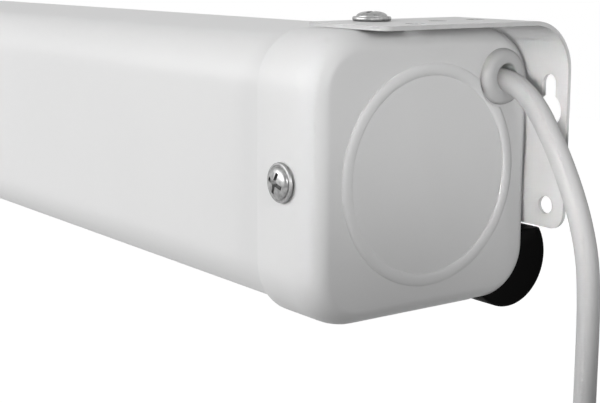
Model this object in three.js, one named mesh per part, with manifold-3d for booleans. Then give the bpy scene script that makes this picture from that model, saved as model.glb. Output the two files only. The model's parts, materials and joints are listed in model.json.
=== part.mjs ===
// A motorised roller projection screen: a long square steel case with an end cap and a wall
// bracket at each end, a roller turned by a tube motor, a fabric with a weighted bottom bar,
// and a mains lead that leaves through the right-hand end cap.
// Millimetres, +Z up, +Y towards the wall, +X to the right of someone facing the wall.

import * as THREE from 'three';
import { mergeVertices } from 'three/addons/utils/BufferGeometryUtils.js';
import Module from 'manifold-3d';

const wasm = await Module();
wasm.setup();

// Clearances
const fit_gap = 0.3;
const contact_gap = 0.1;
const overrun = 2;

// Case and end caps: the cross-section starts at Y 0 and Z 0, the right-hand end face is X 0
const case_length = 1500;
const cap_size = 80;
const cap_corner = 16;
const cap_sleeve = 26;
const cap_proud = 2;
const cap_face = 2.6;
const cap_round_depth = 10;
const cap_round_inset = 5.5;
const cap_seat = 6;
const shell_wall = 1.2;
const shell_lip = 4;
const bead_from_edge = 9;
const bead_width = 3.5;
const bead_height = 1.1;

// Wall brackets
const wall_distance = 10;
const bracket_width = 34;
const bracket_overhang = 4.3;
const bracket_metal = 1.2;
const bracket_bend = 15;
const bracket_from_front = 18.9;
const bracket_foot = 19.3;
const bracket_front_corner = 3;
const bracket_foot_corner = 5;
const keyhole_spacing = 19.8;
const keyhole_slot = 4.6;
const keyhole_round = 9.8;
const keyhole_down = 26.7;
const keyhole_rise = 8.4;
const screw_hole = 5.4;
const screw_hole_up = 6.8;
const ceiling_slot_front = 37.1;
const ceiling_slot_back = 22.5;

// Screws and nuts
const screw_flange = 11;
const screw_flange_height = 1;
const screw_head = 9.4;
const screw_head_height = 1.65;
const dome_radius_shares = [0.93, 0.62];
const dome_height_shares = [0.55, 0.9];
const recess_width = 1.5;
const recess_length = 5;
const recess_depth = 1.4;
const cap_screw_shank = 4;
const cap_screw_length = 9;
const cap_screw_from_end = 13.9;
const bracket_screw_shank = 5;
const bracket_screw_length = 12.5;
const bracket_screw_from_end = 22;
const bracket_screw_from_front = 36.5;
const nut_flats = 8;
const nut_height = 4;

// End plates inside the case
const plate_from_end = 10;
const plate_web = 2.5;
const plate_rim = 3;
const plate_depth = 17;
const boss_depth = 2.5;
const boss_width = 9;
const boss_length = 8;

// Roller and fabric
const roller_back = 3.5;
const roller_up = 1;
const roll_wall_gap = 6;
const roll_bar_gap = 1;
const tube_wall = 1.2;
const tube_from_end = 38.8;
const wound_depth = 2;
const fabric_from_end = 56;
const fabric_thickness = 0.5;

// Tube motor
const head_proud = 1;
const head_edge = 1.2;
const head_length = 22;
const motor_gap = 6.3;
const motor_length = 445;
const flange_thickness = 2.5;
const crown_depth = 21.5;
const shaft_radius = 6;
const shaft_length = 24;
const wheel_thickness = 18;
const wheel_hole_share = 0.4;
const wheel_holes = 4;
const motor_screw_from_rim = 9;
const motor_screw_shank = 4;
const motor_screw_length = 10;
const limit_spread = 9.5;
const limit_from_rim = 14;
const limit_radius = 2.7;
const limit_length = 11;
const limit_slot = 1;

// Idler end
const pin_radius = 6;
const pin_length = 49;
const bush_radius = 9;
const bush_flange = 12;
const bush_length = 10;

// Bottom bar
const bar_radius = 14.6;
const bar_wall_gap = 0.35;
const bar_hang = 3.3;
const bar_flat = 8.2;
const bar_gap = 1.2;
const bar_metal = 1.6;
const bar_cap_length = 8;
const spigot_radius = 5.6;
const spigot_length = 9;
const rod_radius = 5;
const channel_radius = 2.3;
const channel_wall = 1.2;
const channel_slot = 1.6;
const hem_thickness = 0.8;

// Receiver and its leads
const receiver_from_end = 60;
const receiver_length = 70;
const receiver_height = 26;
const receiver_depth = 10;
const receiver_bottom = 28;
const receiver_corner = 2;
const lead_radius = 2.5;

// Mains lead, its grommet, tie and plug
const cord_radius = 3.1;
const cord_from_rear = 14.4;
const cord_from_top = 14.2;
const grommet_collar = 8.25;
const grommet_height = 3.1;
const grommet_mouth = 4.4;
const grommet_neck = 5.6;
const grommet_tail = 4.6;
const grommet_length = 20;
const collar_radius_shares = [0.97, 0.86, 0.66];
const collar_height_shares = [0.35, 0.72, 1];
const clamp_from_end = 33;
const clamp_behind_roller = 3.5;
const clamp_below_case = 4;
const clamp_width = 7;
const clamp_wall = 1.5;
const coil_radius = 47;
const coil_pitch = 7.2;
const coil_turns_in = 2.75;
const coil_climb_turns = 0.5;
const coil_turns = 5.2083;
const coil_entry_angle = THREE.MathUtils.degToRad(75);
const coil_entry_bend = 40;
const coil_tail = 33;
const coil_steps_per_turn = 24;
const coil_sides = 6;
const least_coil_gap = 0.4;
const cord_drop_x = 36;
const cord_drop_z = -23.5;
const tie_angle = THREE.MathUtils.degToRad(60);
const tie_width = 9;
const tie_metal = 1.2;
const tie_slack = 0.8;
const plug_neck = 4.4;
const plug_neck_end = 6.2;
const plug_neck_length = 18;
const plug_radius = 17.5;
const plug_shoulder = 12;
const plug_body = 14;
const plug_round_share = 0.72;
const plug_round_height_share = 0.3;
const plug_pin_radius = 2.4;
const pin_tip_share = 0.5;
const plug_pin_length = 19;
const plug_pin_spacing = 19;
const clip_width = 6.4;
const clip_thickness = 0.9;
const clip_length = 11;
const clip_notch = 2.2;

// Places that follow from the sizes above
const cap_middle = cap_size / 2;
const bead_outer = cap_middle - bead_from_edge;
const bead_inner = bead_outer - bead_width;
const wall_y = cap_size + wall_distance;
const shell_end = cap_seat + fit_gap;
const inner_low = cap_proud + shell_wall;
const inner_high = cap_size - inner_low;
const inner_corner = cap_corner - inner_low;
const roller_y = cap_middle + roller_back;
const roller_z = cap_middle + roller_up;
const bar_y = wall_y - bar_wall_gap - bar_radius;
const bar_z = bar_radius - bar_hang;
const bar_from_roller = Math.hypot(bar_y - roller_y, bar_z - roller_z);
const room_to_wall = inner_high - roller_y - roll_wall_gap;
const room_to_bar = bar_from_roller - bar_radius - roll_bar_gap;
const wound_radius = Math.min(room_to_wall, room_to_bar);
const wound_inner = wound_radius - wound_depth;
const tube_radius = wound_inner - fit_gap;
const tube_inner = tube_radius - tube_wall;
const fabric_width = case_length - 2 * fabric_from_end;
const fabric_front = roller_y + wound_radius + fit_gap;
const fabric_middle = fabric_front + fabric_thickness / 2;
const bar_top = bar_z + bar_flat;
const bar_end = cap_face + fit_gap;
const bar_body_end = bar_end + bar_cap_length + fit_gap;
const mouth_top = bar_top + bar_gap;
const bracket_middle = bracket_width / 2 - bracket_overhang;
const bracket_under = cap_size + contact_gap;
const bracket_top = bracket_under + bracket_metal;
const rim_low = inner_low + fit_gap;
const rim_high = cap_size - rim_low;
const pocket_low = rim_low + plate_rim;
const pocket_high = cap_size - pocket_low;
const head_radius = tube_radius + head_proud;
const motor_radius = tube_inner - motor_gap;
const motor_screw_spread = head_radius - motor_screw_from_rim;
const limit_drop = head_radius - limit_from_rim;
const cord_y = cap_size - cord_from_rear;
const cord_z = cap_size - cord_from_top;
const clamp_from_front = roller_y + clamp_behind_roller;
const clamp_z = inner_high - clamp_below_case;
const head_from_end = plate_from_end + plate_web + fit_gap;
const motor_from_end = head_from_end + head_length + fit_gap;
const shaft_from_end = motor_from_end + motor_length + fit_gap;

const full_turn = 2 * Math.PI;
const quarter_turn = Math.PI / 2;

// Points of an arc in a plane, from one angle to another
function arc(centre_a, centre_b, radius, from, to, steps) {
  const points = [];
  for (let i = 0; i <= steps; i += 1) {
    const angle = from + (to - from) * i / steps;
    points.push(new THREE.Vector2(centre_a + radius * Math.cos(angle), centre_b + radius * Math.sin(angle)));
  }
  return points;
}

// A full circle, without its first point again at the end
function circle(centre_a, centre_b, radius, steps) {
  return arc(centre_a, centre_b, radius, 0, full_turn, steps).slice(0, steps);
}

// A rectangle with four round corners
function rounded(low_a, high_a, low_b, high_b, radius, steps) {
  return [
    ...arc(high_a - radius, high_b - radius, radius, 0, quarter_turn, steps),
    ...arc(low_a + radius, high_b - radius, radius, quarter_turn, Math.PI, steps),
    ...arc(low_a + radius, low_b + radius, radius, Math.PI, 3 * quarter_turn, steps),
    ...arc(high_a - radius, low_b + radius, radius, 3 * quarter_turn, full_turn, steps),
  ];
}

function rectangle(low_a, high_a, low_b, high_b) {
  return [
    new THREE.Vector2(low_a, low_b),
    new THREE.Vector2(high_a, low_b),
    new THREE.Vector2(high_a, high_b),
    new THREE.Vector2(low_a, high_b),
  ];
}

// Six times the volume inside the triangles, negative where they face inwards
function signed_volume(points, corners) {
  let sum = 0;
  const a = new THREE.Vector3();
  const b = new THREE.Vector3();
  const c = new THREE.Vector3();
  for (let i = 0; i < corners.length; i += 3) {
    a.fromArray(points, 3 * corners[i]);
    b.fromArray(points, 3 * corners[i + 1]);
    c.fromArray(points, 3 * corners[i + 2]);
    sum += a.dot(b.cross(c));
  }
  return sum;
}

// A closed geometry as a solid that can be cut and joined, with its faces pointing out
function solid(geometry) {
  geometry.deleteAttribute('normal');
  geometry.deleteAttribute('uv');
  const merged = mergeVertices(geometry);
  const points = Float32Array.from(merged.attributes.position.array);
  const corners = Uint32Array.from(merged.index.array);
  if (signed_volume(points, corners) < 0) corners.reverse();
  return new wasm.Manifold(new wasm.Mesh({ numProp: 3, vertProperties: points, triVerts: corners }));
}

// A flat outline pushed along an axis: (Y, Z) along X, (Z, X) along Y, (X, Y) along Z
function prism(axis, outline, from, to) {
  const geometry = new THREE.ExtrudeGeometry(new THREE.Shape(outline), {
    depth: to - from,
    bevelEnabled: false,
  });
  const turn = {
    x: new THREE.Matrix4().set(0, 0, 1, from, 1, 0, 0, 0, 0, 1, 0, 0, 0, 0, 0, 1),
    y: new THREE.Matrix4().set(0, 1, 0, 0, 0, 0, 1, from, 1, 0, 0, 0, 0, 0, 0, 1),
    z: new THREE.Matrix4().makeTranslation(0, 0, from),
  };
  geometry.applyMatrix4(turn[axis]);
  return solid(geometry);
}

// A profile of [radius, distance] pairs turned about an axis through a point
function turned(axis, centre, profile, steps) {
  const points = profile.map(([radius, along]) => new THREE.Vector2(radius, along));
  const geometry = new THREE.LatheGeometry(points, steps);
  if (axis === 'x') geometry.rotateZ(-quarter_turn);
  if (axis === 'z') geometry.rotateX(quarter_turn);
  geometry.translate(...centre);
  return solid(geometry);
}

// A round bar or hole from one place to another along an axis
function rod(axis, centre, radius, from, to, steps) {
  return turned(axis, centre, [[0, from], [radius, from], [radius, to], [0, to]], steps);
}

// A round tube along a curve
function tube_along(curve, radius, steps, sides) {
  const geometry = new THREE.ExtrudeGeometry(new THREE.Shape(circle(0, 0, radius, sides)), {
    steps,
    bevelEnabled: false,
    extrudePath: curve,
  });
  return solid(geometry);
}

// Rings of as many points each, joined side by side and closed with a fan at both ends
function loft(rings) {
  const around = rings[0].length;
  const points = rings.flat();
  const corners = [];
  for (let ring = 0; ring + 1 < rings.length; ring += 1) {
    for (let i = 0; i < around; i += 1) {
      const a = ring * around + i;
      const b = ring * around + (i + 1) % around;
      corners.push(a, b, b + around, a, b + around, a + around);
    }
  }
  for (const [start, turn] of [[0, true], [(rings.length - 1) * around, false]]) {
    const middle = new THREE.Vector3();
    for (let i = 0; i < around; i += 1) middle.addScaledVector(points[start + i], 1 / around);
    points.push(middle);
    for (let i = 0; i < around; i += 1) {
      const pair = [start + i, start + (i + 1) % around];
      if (turn) pair.reverse();
      corners.push(...pair, points.length - 1);
    }
  }
  const geometry = new THREE.BufferGeometry().setFromPoints(points);
  geometry.setIndex(corners);
  return solid(geometry);
}

function cut(body, ...tools) {
  return tools.reduce((rest, tool) => rest.subtract(tool), body);
}

function join(...bodies) {
  return bodies.reduce((sum, body) => sum.add(body));
}

// The left-hand end is the right-hand end mirrored about the middle of the case
function geometry_of(body, on_left = false) {
  const mesh = body.getMesh();
  const points = Float32Array.from(mesh.vertProperties);
  const corners = Uint32Array.from(mesh.triVerts);
  if (on_left) {
    for (let i = 0; i < points.length; i += 3) points[i] = -case_length - points[i];
    corners.reverse();
  }
  const geometry = new THREE.BufferGeometry();
  geometry.setAttribute('position', new THREE.BufferAttribute(points, 3));
  geometry.setIndex(new THREE.BufferAttribute(corners, 1));
  geometry.computeVertexNormals();
  return geometry;
}

// The room that the bottom bar needs as it rises into the case: its outline, grown by a gap
function bar_room(gap) {
  const radius = bar_radius + gap;
  const top = bar_flat + gap;
  const top_angle = Math.PI - Math.asin(top / radius);
  const below = bar_z - bar_radius - gap - overrun;
  const outline = [
    new THREE.Vector2(bar_y - radius, below),
    new THREE.Vector2(bar_y + radius, below),
    new THREE.Vector2(bar_y + radius, bar_z + top),
    ...arc(bar_y, bar_z, radius, top_angle, Math.PI, 6),
  ];
  return prism('x', outline, -case_length / 2, -cap_face);
}

// A flanged pan-head screw with a cross recess, standing on its seat at 0 with the shank below
function pan_screw(shank, length) {
  const flange = screw_flange / 2;
  const head = screw_head / 2;
  const profile = [
    [0, -length],
    [shank / 2, -length],
    [shank / 2, 0],
    [flange, 0],
    [flange, screw_flange_height / 2],
    [flange - screw_flange_height / 2, screw_flange_height],
    [head, screw_flange_height],
    ...dome_radius_shares.map((share, i) => [
      head * share,
      screw_flange_height + screw_head_height * dome_height_shares[i],
    ]),
    [0, screw_flange_height + screw_head_height],
  ];
  const top = screw_flange_height + screw_head_height;
  const arm = recess_length / 2;
  const half = recess_width / 2;
  return cut(
    turned('z', [0, 0, 0], profile, 16),
    prism('z', rectangle(-arm, arm, -half, half), top - recess_depth, top + overrun),
    prism('z', rectangle(-half, half, -arm, arm), top - recess_depth, top + overrun),
  );
}

// A finished solid moved and turned to its place
function placed(body, x, y, z, turn_x = 0, turn_y = 0) {
  const geometry = geometry_of(body);
  geometry.rotateX(turn_x);
  geometry.rotateY(turn_y);
  geometry.translate(x, y, z);
  return solid(geometry);
}

// End cap: a moulded box end whose sleeve slides over the case
function end_cap(with_cord) {
  const stations = [];
  const edge_steps = 5;
  for (let i = 0; i <= edge_steps; i += 1) {
    const angle = quarter_turn * (1 - i / edge_steps);
    const depth = cap_round_depth * (1 - Math.sin(angle));
    stations.push([depth, cap_round_inset * (1 - Math.cos(angle))]);
  }
  stations.push([cap_sleeve, 0]);
  const rings = stations.map(([depth, inset]) => {
    const outline = rounded(inset, cap_size - inset, inset, cap_size - inset, cap_corner - inset, 6);
    return outline.map((point) => new THREE.Vector3(-depth, point.x, point.y));
  });
  const sleeve_low = cap_proud - fit_gap;
  const sleeve_high = cap_size - sleeve_low;
  const sleeve_corner = cap_corner - sleeve_low;
  const step_low = cap_round_inset + cap_proud;
  const step_high = cap_size - step_low;
  const step_corner = cap_corner - step_low;
  const front_hole = cap_screw_shank / 2 + fit_gap;
  const top_hole = bracket_screw_shank / 2 + fit_gap;
  const bead_middle = (bead_inner + bead_outer) / 2;
  const bead = turned('x', [0, cap_middle, cap_middle], [
    [bead_inner, -cap_face / 2],
    [bead_outer, -cap_face / 2],
    [bead_outer, 0],
    [bead_middle + bead_height / 2, bead_height],
    [bead_middle - bead_height / 2, bead_height],
    [bead_inner, 0],
    [bead_inner, -cap_face / 2],
  ], 48);
  const body = cut(
    join(loft(rings), bead),
    prism('x', rounded(sleeve_low, sleeve_high, sleeve_low, sleeve_high, sleeve_corner, 6),
      -cap_sleeve - overrun, -cap_seat),
    prism('x', rounded(step_low, step_high, step_low, step_high, step_corner, 5),
      -cap_sleeve - overrun, -cap_face),
    bar_room(bar_gap),
    rod('y', [-cap_screw_from_end, 0, cap_middle], front_hole, -overrun, cap_size + overrun, 16),
    rod('z', [-bracket_screw_from_end, bracket_screw_from_front, 0], top_hole,
      cap_middle, cap_size + overrun, 16),
  );
  if (!with_cord) return body;
  return cut(
    body,
    rod('x', [0, cord_y, cord_z], grommet_neck + fit_gap, -cap_face - overrun, overrun, 24),
    rod('x', [0, cord_y, cord_z], grommet_collar + fit_gap, 0, bead_height + overrun, 32),
  );
}

// Case: one folded sheet, open along the rear bottom edge where the fabric and bar come out
function case_shell() {
  const low = cap_proud;
  const high = cap_size - cap_proud;
  const corner = cap_corner - cap_proud;
  const front_lip = bar_y - bar_radius - bar_gap;
  const at = (y, z) => new THREE.Vector2(y, z);
  const outline = [
    at(high, mouth_top),
    ...arc(high - corner, high - corner, corner, 0, quarter_turn, 8),
    ...arc(low + corner, high - corner, corner, quarter_turn, Math.PI, 8),
    ...arc(low + corner, low + corner, corner, Math.PI, 3 * quarter_turn, 8),
    at(front_lip, low),
    at(front_lip, low + shell_lip),
    at(front_lip - shell_wall, low + shell_lip),
    at(front_lip - shell_wall, inner_low),
    ...arc(low + corner, low + corner, inner_corner, 3 * quarter_turn, Math.PI, 8),
    ...arc(low + corner, high - corner, inner_corner, Math.PI, quarter_turn, 8),
    ...arc(high - corner, high - corner, inner_corner, quarter_turn, 0, 8),
    at(inner_high, mouth_top + shell_wall),
    at(high - shell_lip, mouth_top + shell_wall),
    at(high - shell_lip, mouth_top),
  ];
  const holes = [];
  for (const from_end of [cap_screw_from_end, case_length - cap_screw_from_end]) {
    holes.push(rod('y', [-from_end, 0, cap_middle], cap_screw_shank / 2 + fit_gap,
      -overrun, cap_size + overrun, 20));
  }
  for (const from_end of [bracket_screw_from_end, case_length - bracket_screw_from_end]) {
    holes.push(rod('z', [-from_end, bracket_screw_from_front, 0], bracket_screw_shank / 2 + fit_gap,
      cap_middle, cap_size + overrun, 20));
  }
  return cut(prism('x', outline, shell_end - case_length, -shell_end), ...holes);
}

// End plate: a shallow cast tray inside the case that carries the roller and takes the screws
function end_plate(with_motor) {
  const rim_corner = cap_corner - rim_low;
  const pocket_corner = cap_corner - pocket_low;
  const rim_end = -plate_from_end - plate_depth;
  const web_back = -plate_from_end - plate_web;
  const boss_low = cap_middle - boss_width / 2;
  const boss_high = cap_middle + boss_width / 2;
  const boss_end = -plate_from_end - boss_length;
  const tray = cut(
    prism('x', rounded(rim_low, rim_high, rim_low, rim_high, rim_corner, 6), rim_end, -plate_from_end),
    prism('x', rounded(pocket_low, pocket_high, pocket_low, pocket_high, pocket_corner, 5),
      rim_end - overrun, web_back),
  );
  const bosses = [
    prism('x', rectangle(rim_low + contact_gap, pocket_low + boss_depth, boss_low, boss_high),
      boss_end, -plate_from_end),
    prism('x', rectangle(pocket_high - boss_depth, rim_high - contact_gap, boss_low, boss_high),
      boss_end, -plate_from_end),
  ];
  const body = cut(
    join(tray, ...bosses),
    bar_room(bar_gap + shell_wall + fit_gap),
    rod('y', [-cap_screw_from_end, 0, cap_middle], cap_screw_shank / 2 + fit_gap,
      -overrun, cap_size + overrun, 16),
    rod('z', [-bracket_screw_from_end, bracket_screw_from_front, 0], bracket_screw_shank / 2 + fit_gap,
      cap_middle, cap_size + overrun, 16),
  );
  const from = web_back - overrun;
  const to = -plate_from_end + overrun;
  if (!with_motor) {
    return cut(body, rod('x', [0, roller_y, roller_z], bush_radius + fit_gap, from, to, 32));
  }
  const windows = [rod('x', [0, cord_y, cord_z], grommet_neck + fit_gap, from, to, 24)];
  for (const side of [1, -1]) {
    windows.push(rod('x', [0, roller_y, roller_z + side * motor_screw_spread],
      motor_screw_shank / 2 + fit_gap, from, to, 16));
    windows.push(rod('x', [0, roller_y + side * limit_spread, roller_z - limit_drop],
      limit_radius + fit_gap, from, to, 16));
  }
  return cut(body, ...windows);
}

// Wall bracket: a bent steel angle that lies on the cap and stands against the wall
function wall_bracket() {
  const bend_y = wall_y - bracket_bend;
  const bend_z = bracket_top - bracket_bend;
  const front = bracket_from_front;
  const at = (y, z) => new THREE.Vector2(y, z);
  const outline = [
    at(front, bracket_under),
    ...arc(bend_y, bend_z, bracket_bend - bracket_metal, quarter_turn, 0, 8),
    at(wall_y - bracket_metal, bracket_foot),
    at(wall_y, bracket_foot),
    ...arc(bend_y, bend_z, bracket_bend, 0, quarter_turn, 8),
    at(front, bracket_top),
  ];
  const right = bracket_overhang;
  const left = bracket_overhang - bracket_width;
  const middle = -bracket_middle;
  const strip = prism('x', outline, left, right);
  const arm_blank = prism('z', rounded(left, right, front, wall_y + bracket_width, bracket_front_corner, 5),
    bracket_foot - overrun, bracket_top + overrun);
  const leg_blank = prism('y', rounded(bracket_foot, bracket_top + bracket_width, left, right, bracket_foot_corner, 5),
    front - overrun, wall_y + overrun);
  const through = (x, z, radius, steps) => rod('y', [x, 0, z], radius, bend_y, wall_y + overrun, steps);
  const down = (x, y, radius, steps) => rod('z', [x, y, 0], radius, bend_z, bracket_top + overrun, steps);
  const holes = [];
  for (const side of [1, -1]) {
    const x = middle + side * keyhole_spacing / 2;
    const low = bracket_top - keyhole_down;
    holes.push(through(x, low, keyhole_round / 2, 20));
    holes.push(through(x, low + keyhole_rise, keyhole_slot / 2, 12));
    holes.push(prism('y', rectangle(low, low + keyhole_rise, x - keyhole_slot / 2, x + keyhole_slot / 2),
      bend_y, wall_y + overrun));
    holes.push(through(x, bracket_foot + screw_hole_up, screw_hole / 2, 16));
    const screw_x = middle + side * (bracket_middle - bracket_screw_from_end);
    holes.push(down(screw_x, bracket_screw_from_front, bracket_screw_shank / 2 + fit_gap, 16));
  }
  for (const from_wall of [ceiling_slot_front, ceiling_slot_back]) {
    holes.push(down(middle, wall_y - from_wall, screw_hole / 2, 16));
  }
  return cut(strip.intersect(arm_blank).intersect(leg_blank), ...holes);
}

// Hexagon nut under the rim of the end plate, on the bracket screw
function bracket_nut() {
  const top = pocket_high - fit_gap;
  const across_corners = nut_flats / Math.sqrt(3);
  const x = -bracket_screw_from_end;
  const y = bracket_screw_from_front;
  return cut(
    prism('z', circle(x, y, across_corners, 6), top - nut_height, top),
    rod('z', [x, y, 0], bracket_screw_shank / 2 + fit_gap, top - nut_height - overrun, top + overrun, 20),
  );
}

// Motor head: the still end of the tube motor, screwed to the end plate
function motor_head() {
  const front = -head_from_end;
  const back = front - head_length;
  const holes = [];
  for (const side of [1, -1]) {
    const screw_end = -plate_from_end - motor_screw_length - fit_gap;
    holes.push(rod('x', [0, roller_y, roller_z + side * motor_screw_spread],
      motor_screw_shank / 2 + fit_gap, screw_end, front + overrun, 16));
    const limit_end = -plate_from_end - limit_length + fit_gap;
    holes.push(rod('x', [0, roller_y + side * limit_spread, roller_z - limit_drop],
      limit_radius + fit_gap, limit_end - fit_gap, front + overrun, 16));
  }
  const profile = [
    [0, back],
    [head_radius - head_edge, back],
    [head_radius, back + head_edge],
    [head_radius, front - head_edge],
    [head_radius - head_edge, front],
    [0, front],
  ];
  return cut(turned('x', [0, roller_y, roller_z], profile, 36), ...holes);
}

// Adjusting screw for one of the two stops, slotted for a small screwdriver
function limit_screw(side) {
  const front = -plate_from_end + limit_slot;
  const back = front - limit_length;
  const y = roller_y + side * limit_spread;
  const z = roller_z - limit_drop;
  const half = limit_slot / 2;
  return cut(
    rod('x', [0, y, z], limit_radius, back, front, 16),
    prism('x', rectangle(y - limit_radius - overrun, y + limit_radius + overrun, z - half, z + half),
      front - limit_slot, front + overrun),
  );
}

// Flanged plug in an end of the tube, drawn at the right-hand end: the crown that turns on the
// still motor, and the idler plug that turns on its pin
function tube_plug(bore) {
  const start = -tube_from_end;
  const body = tube_inner - fit_gap;
  return turned('x', [0, roller_y, roller_z], [
    [bore, start - crown_depth],
    [body, start - crown_depth],
    [body, start + fit_gap],
    [tube_radius, start + fit_gap],
    [tube_radius, start + fit_gap + flange_thickness],
    [bore, start + fit_gap + flange_thickness],
    [bore, start - crown_depth],
  ], 36);
}

// Drive wheel: fixed on the motor shaft and keyed to the tube
function drive_wheel() {
  const start = -shaft_from_end - fit_gap;
  const radius = tube_inner - fit_gap;
  const hole_place = (radius + shaft_radius) / 2;
  const hole_radius = (radius - shaft_radius) / 2 * wheel_hole_share;
  const holes = [];
  for (let i = 0; i < wheel_holes; i += 1) {
    const angle = full_turn * i / wheel_holes;
    const y = roller_y + hole_place * Math.cos(angle);
    const z = roller_z + hole_place * Math.sin(angle);
    holes.push(rod('x', [0, y, z], hole_radius, start - wheel_thickness - overrun, start + overrun, 12));
  }
  return cut(
    rod('x', [0, roller_y, roller_z], radius, start - wheel_thickness, start, 36),
    rod('x', [0, roller_y, roller_z], shaft_radius + fit_gap,
      start - wheel_thickness - overrun, start + overrun, 24),
    ...holes,
  );
}

// Ring along the roller axis between two radii
function roller_ring(inner, outer, from, to) {
  return turned('x', [0, roller_y, roller_z],
    [[inner, from], [outer, from], [outer, to], [inner, to], [inner, from]], 40);
}

// Idler end, drawn at the right-hand end and mirrored: a still pin, and the bush that holds it
function idler_pin() {
  const start = -plate_from_end - fit_gap;
  return rod('x', [0, roller_y, roller_z], pin_radius, start - pin_length, start, 32);
}

function idler_bush() {
  const flange_end = -plate_from_end - plate_web - fit_gap;
  const start = -plate_from_end;
  const bore = pin_radius + fit_gap;
  return turned('x', [0, roller_y, roller_z], [
    [bore, start - bush_length],
    [bush_flange, start - bush_length],
    [bush_flange, flange_end],
    [bush_radius, flange_end],
    [bush_radius, start],
    [bore, start],
    [bore, start - bush_length],
  ], 24);
}

// Bottom bar: a drawn D section with a flat top, a groove for the hem and a hollow for the rod
function bar_outline(radius, flat) {
  const edge = Math.asin(flat / radius);
  return arc(bar_y, bar_z, radius, Math.PI - edge, full_turn + edge, 32);
}

const channel_z = bar_top - bar_metal - channel_radius;

function bottom_bar() {
  const from = bar_body_end - case_length;
  const to = -bar_body_end;
  const wide = channel_radius + channel_wall;
  const hollow = cut(
    prism('x', bar_outline(bar_radius - bar_metal, bar_flat - bar_metal), from - overrun, to + overrun),
    prism('x', circle(fabric_middle, channel_z, wide, 20), from - 2 * overrun, to + 2 * overrun),
    prism('x', rectangle(fabric_middle - wide, fabric_middle + wide, channel_z, bar_top + overrun),
      from - 2 * overrun, to + 2 * overrun),
  );
  const slot = channel_slot / 2;
  return cut(
    prism('x', bar_outline(bar_radius, bar_flat), from, to),
    hollow,
    prism('x', circle(fabric_middle, channel_z, channel_radius, 20), from - overrun, to + overrun),
    prism('x', rectangle(fabric_middle - slot, fabric_middle + slot, channel_z, bar_top + overrun),
      from - overrun, to + overrun),
  );
}

// Moulded end of the bottom bar, with a spigot in the hollow
const spigot_z = bar_z - bar_radius + bar_metal + spigot_radius + fit_gap;

function bar_cap() {
  return join(
    prism('x', bar_outline(bar_radius, bar_flat), -bar_end - bar_cap_length, -bar_end),
    rod('x', [0, bar_y, spigot_z], spigot_radius, -bar_body_end - spigot_length, -bar_end - contact_gap, 24),
  );
}

function bar_weight_rod() {
  const z = bar_z - bar_radius + bar_metal + rod_radius + fit_gap;
  const from_end = bar_body_end + spigot_length + fit_gap;
  return rod('x', [0, bar_y, z], rod_radius, from_end - case_length, -from_end, 24);
}

// Hem of the fabric: a welded bead in the groove, with the fabric's edge standing up through it
function fabric_spline() {
  const from = fabric_from_end - case_length;
  const half = hem_thickness / 2;
  return join(
    prism('x', circle(fabric_middle, channel_z, channel_radius - fit_gap, 16), from, from + fabric_width),
    prism('x', rectangle(fabric_middle - half, fabric_middle + half, channel_z, bar_top),
      from, from + fabric_width),
  );
}

// The short stretch of fabric between the roll and the bar
function fabric_drop() {
  return prism('x', rectangle(fabric_front, fabric_front + fabric_thickness, bar_top + fit_gap, roller_z),
    fabric_from_end - case_length, -fabric_from_end);
}

// Receiver and switch box on the inside of the front wall
function receiver_box() {
  const low_y = inner_low + fit_gap;
  const outline = rounded(low_y, low_y + receiver_depth, receiver_bottom,
    receiver_bottom + receiver_height, receiver_corner, 4);
  return prism('x', outline, -receiver_from_end - receiver_length, -receiver_from_end);
}

// Lead between the receiver and the motor head; its points are chosen by hand
const motor_lead_route = [
  [-59.7, 8.5, 33],
  [-53, 8.5, 33],
  [-45, 8.5, 33.5],
  [-37, 9, 35],
  [-30, 9.3, 37],
  [-25, 10.5, 39.3],
  [-22.5, 13, 40.6],
  [-22, 17.2, 41],
];

// The lead inside the case, from the grommet over the motor head to the receiver
const inner_lead_route = [
  [-2, 65.6, 65.8],
  [-8, 65.6, 65.8],
  [-15, 65.6, 65.8],
  [-22, 65.6, 65.8],
  [-27, 64.2, 67],
  [-30.4, 61, 69.6],
  [-32.4, 56.5, 71.9],
  [-33, 51.5, 72.8],
  [-33, 43, 72.8],
  [-33.2, 34, 72.8],
  [-33.8, 25, 72],
  [-35, 17, 69.5],
  [-38.5, 11.4, 63.5],
  [-43.5, 8.8, 56],
  [-48.5, 8.4, 50.3],
  [-54.5, 8.4, 48.5],
  [-59.6, 8.4, 48.5],
];

// The lead in the open, from inside the grommet to just below the case
const cord_route = [
  [-1.7, 65.6, 65.8],
  [0.6, 65.6, 65.6],
  [2.8, 65.6, 65.1],
  [4.8, 65.6, 64.5],
  [7.6, 65.6, 63.3],
  [11.5, 65.6, 60.8],
  [15.7, 65.6, 56.7],
  [20, 65.6, 51],
  [24.4, 65.6, 44.2],
  [28.6, 65.6, 36.5],
  [32.2, 65.6, 28],
  [34.7, 65.6, 18.8],
  [35.7, 65.6, 8.9],
  [36, 65.6, -1.5],
  [36, 65.6, -12.3],
  [36, 65.6, -23.5],
];

function curve_through(route) {
  return new THREE.CatmullRomCurve3(route.map((point) => new THREE.Vector3(...point)), false, 'centripetal');
}

// Grommet: a domed collar outside the cap, with a neck and a tapered tail inside
function cord_grommet() {
  const bore = cord_radius + fit_gap;
  const profile = [
    [bore, -grommet_length],
    [grommet_tail, -grommet_length],
    [grommet_neck, -cap_face],
    [grommet_neck, contact_gap],
    [grommet_collar, contact_gap],
    ...collar_radius_shares.map((share, i) => [
      grommet_collar * share,
      grommet_height * collar_height_shares[i],
    ]),
    [grommet_mouth, grommet_height],
    [bore, 0],
    [bore, -grommet_length],
  ];
  return turned('x', [0, cord_y, cord_z], profile, 24);
}

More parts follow.
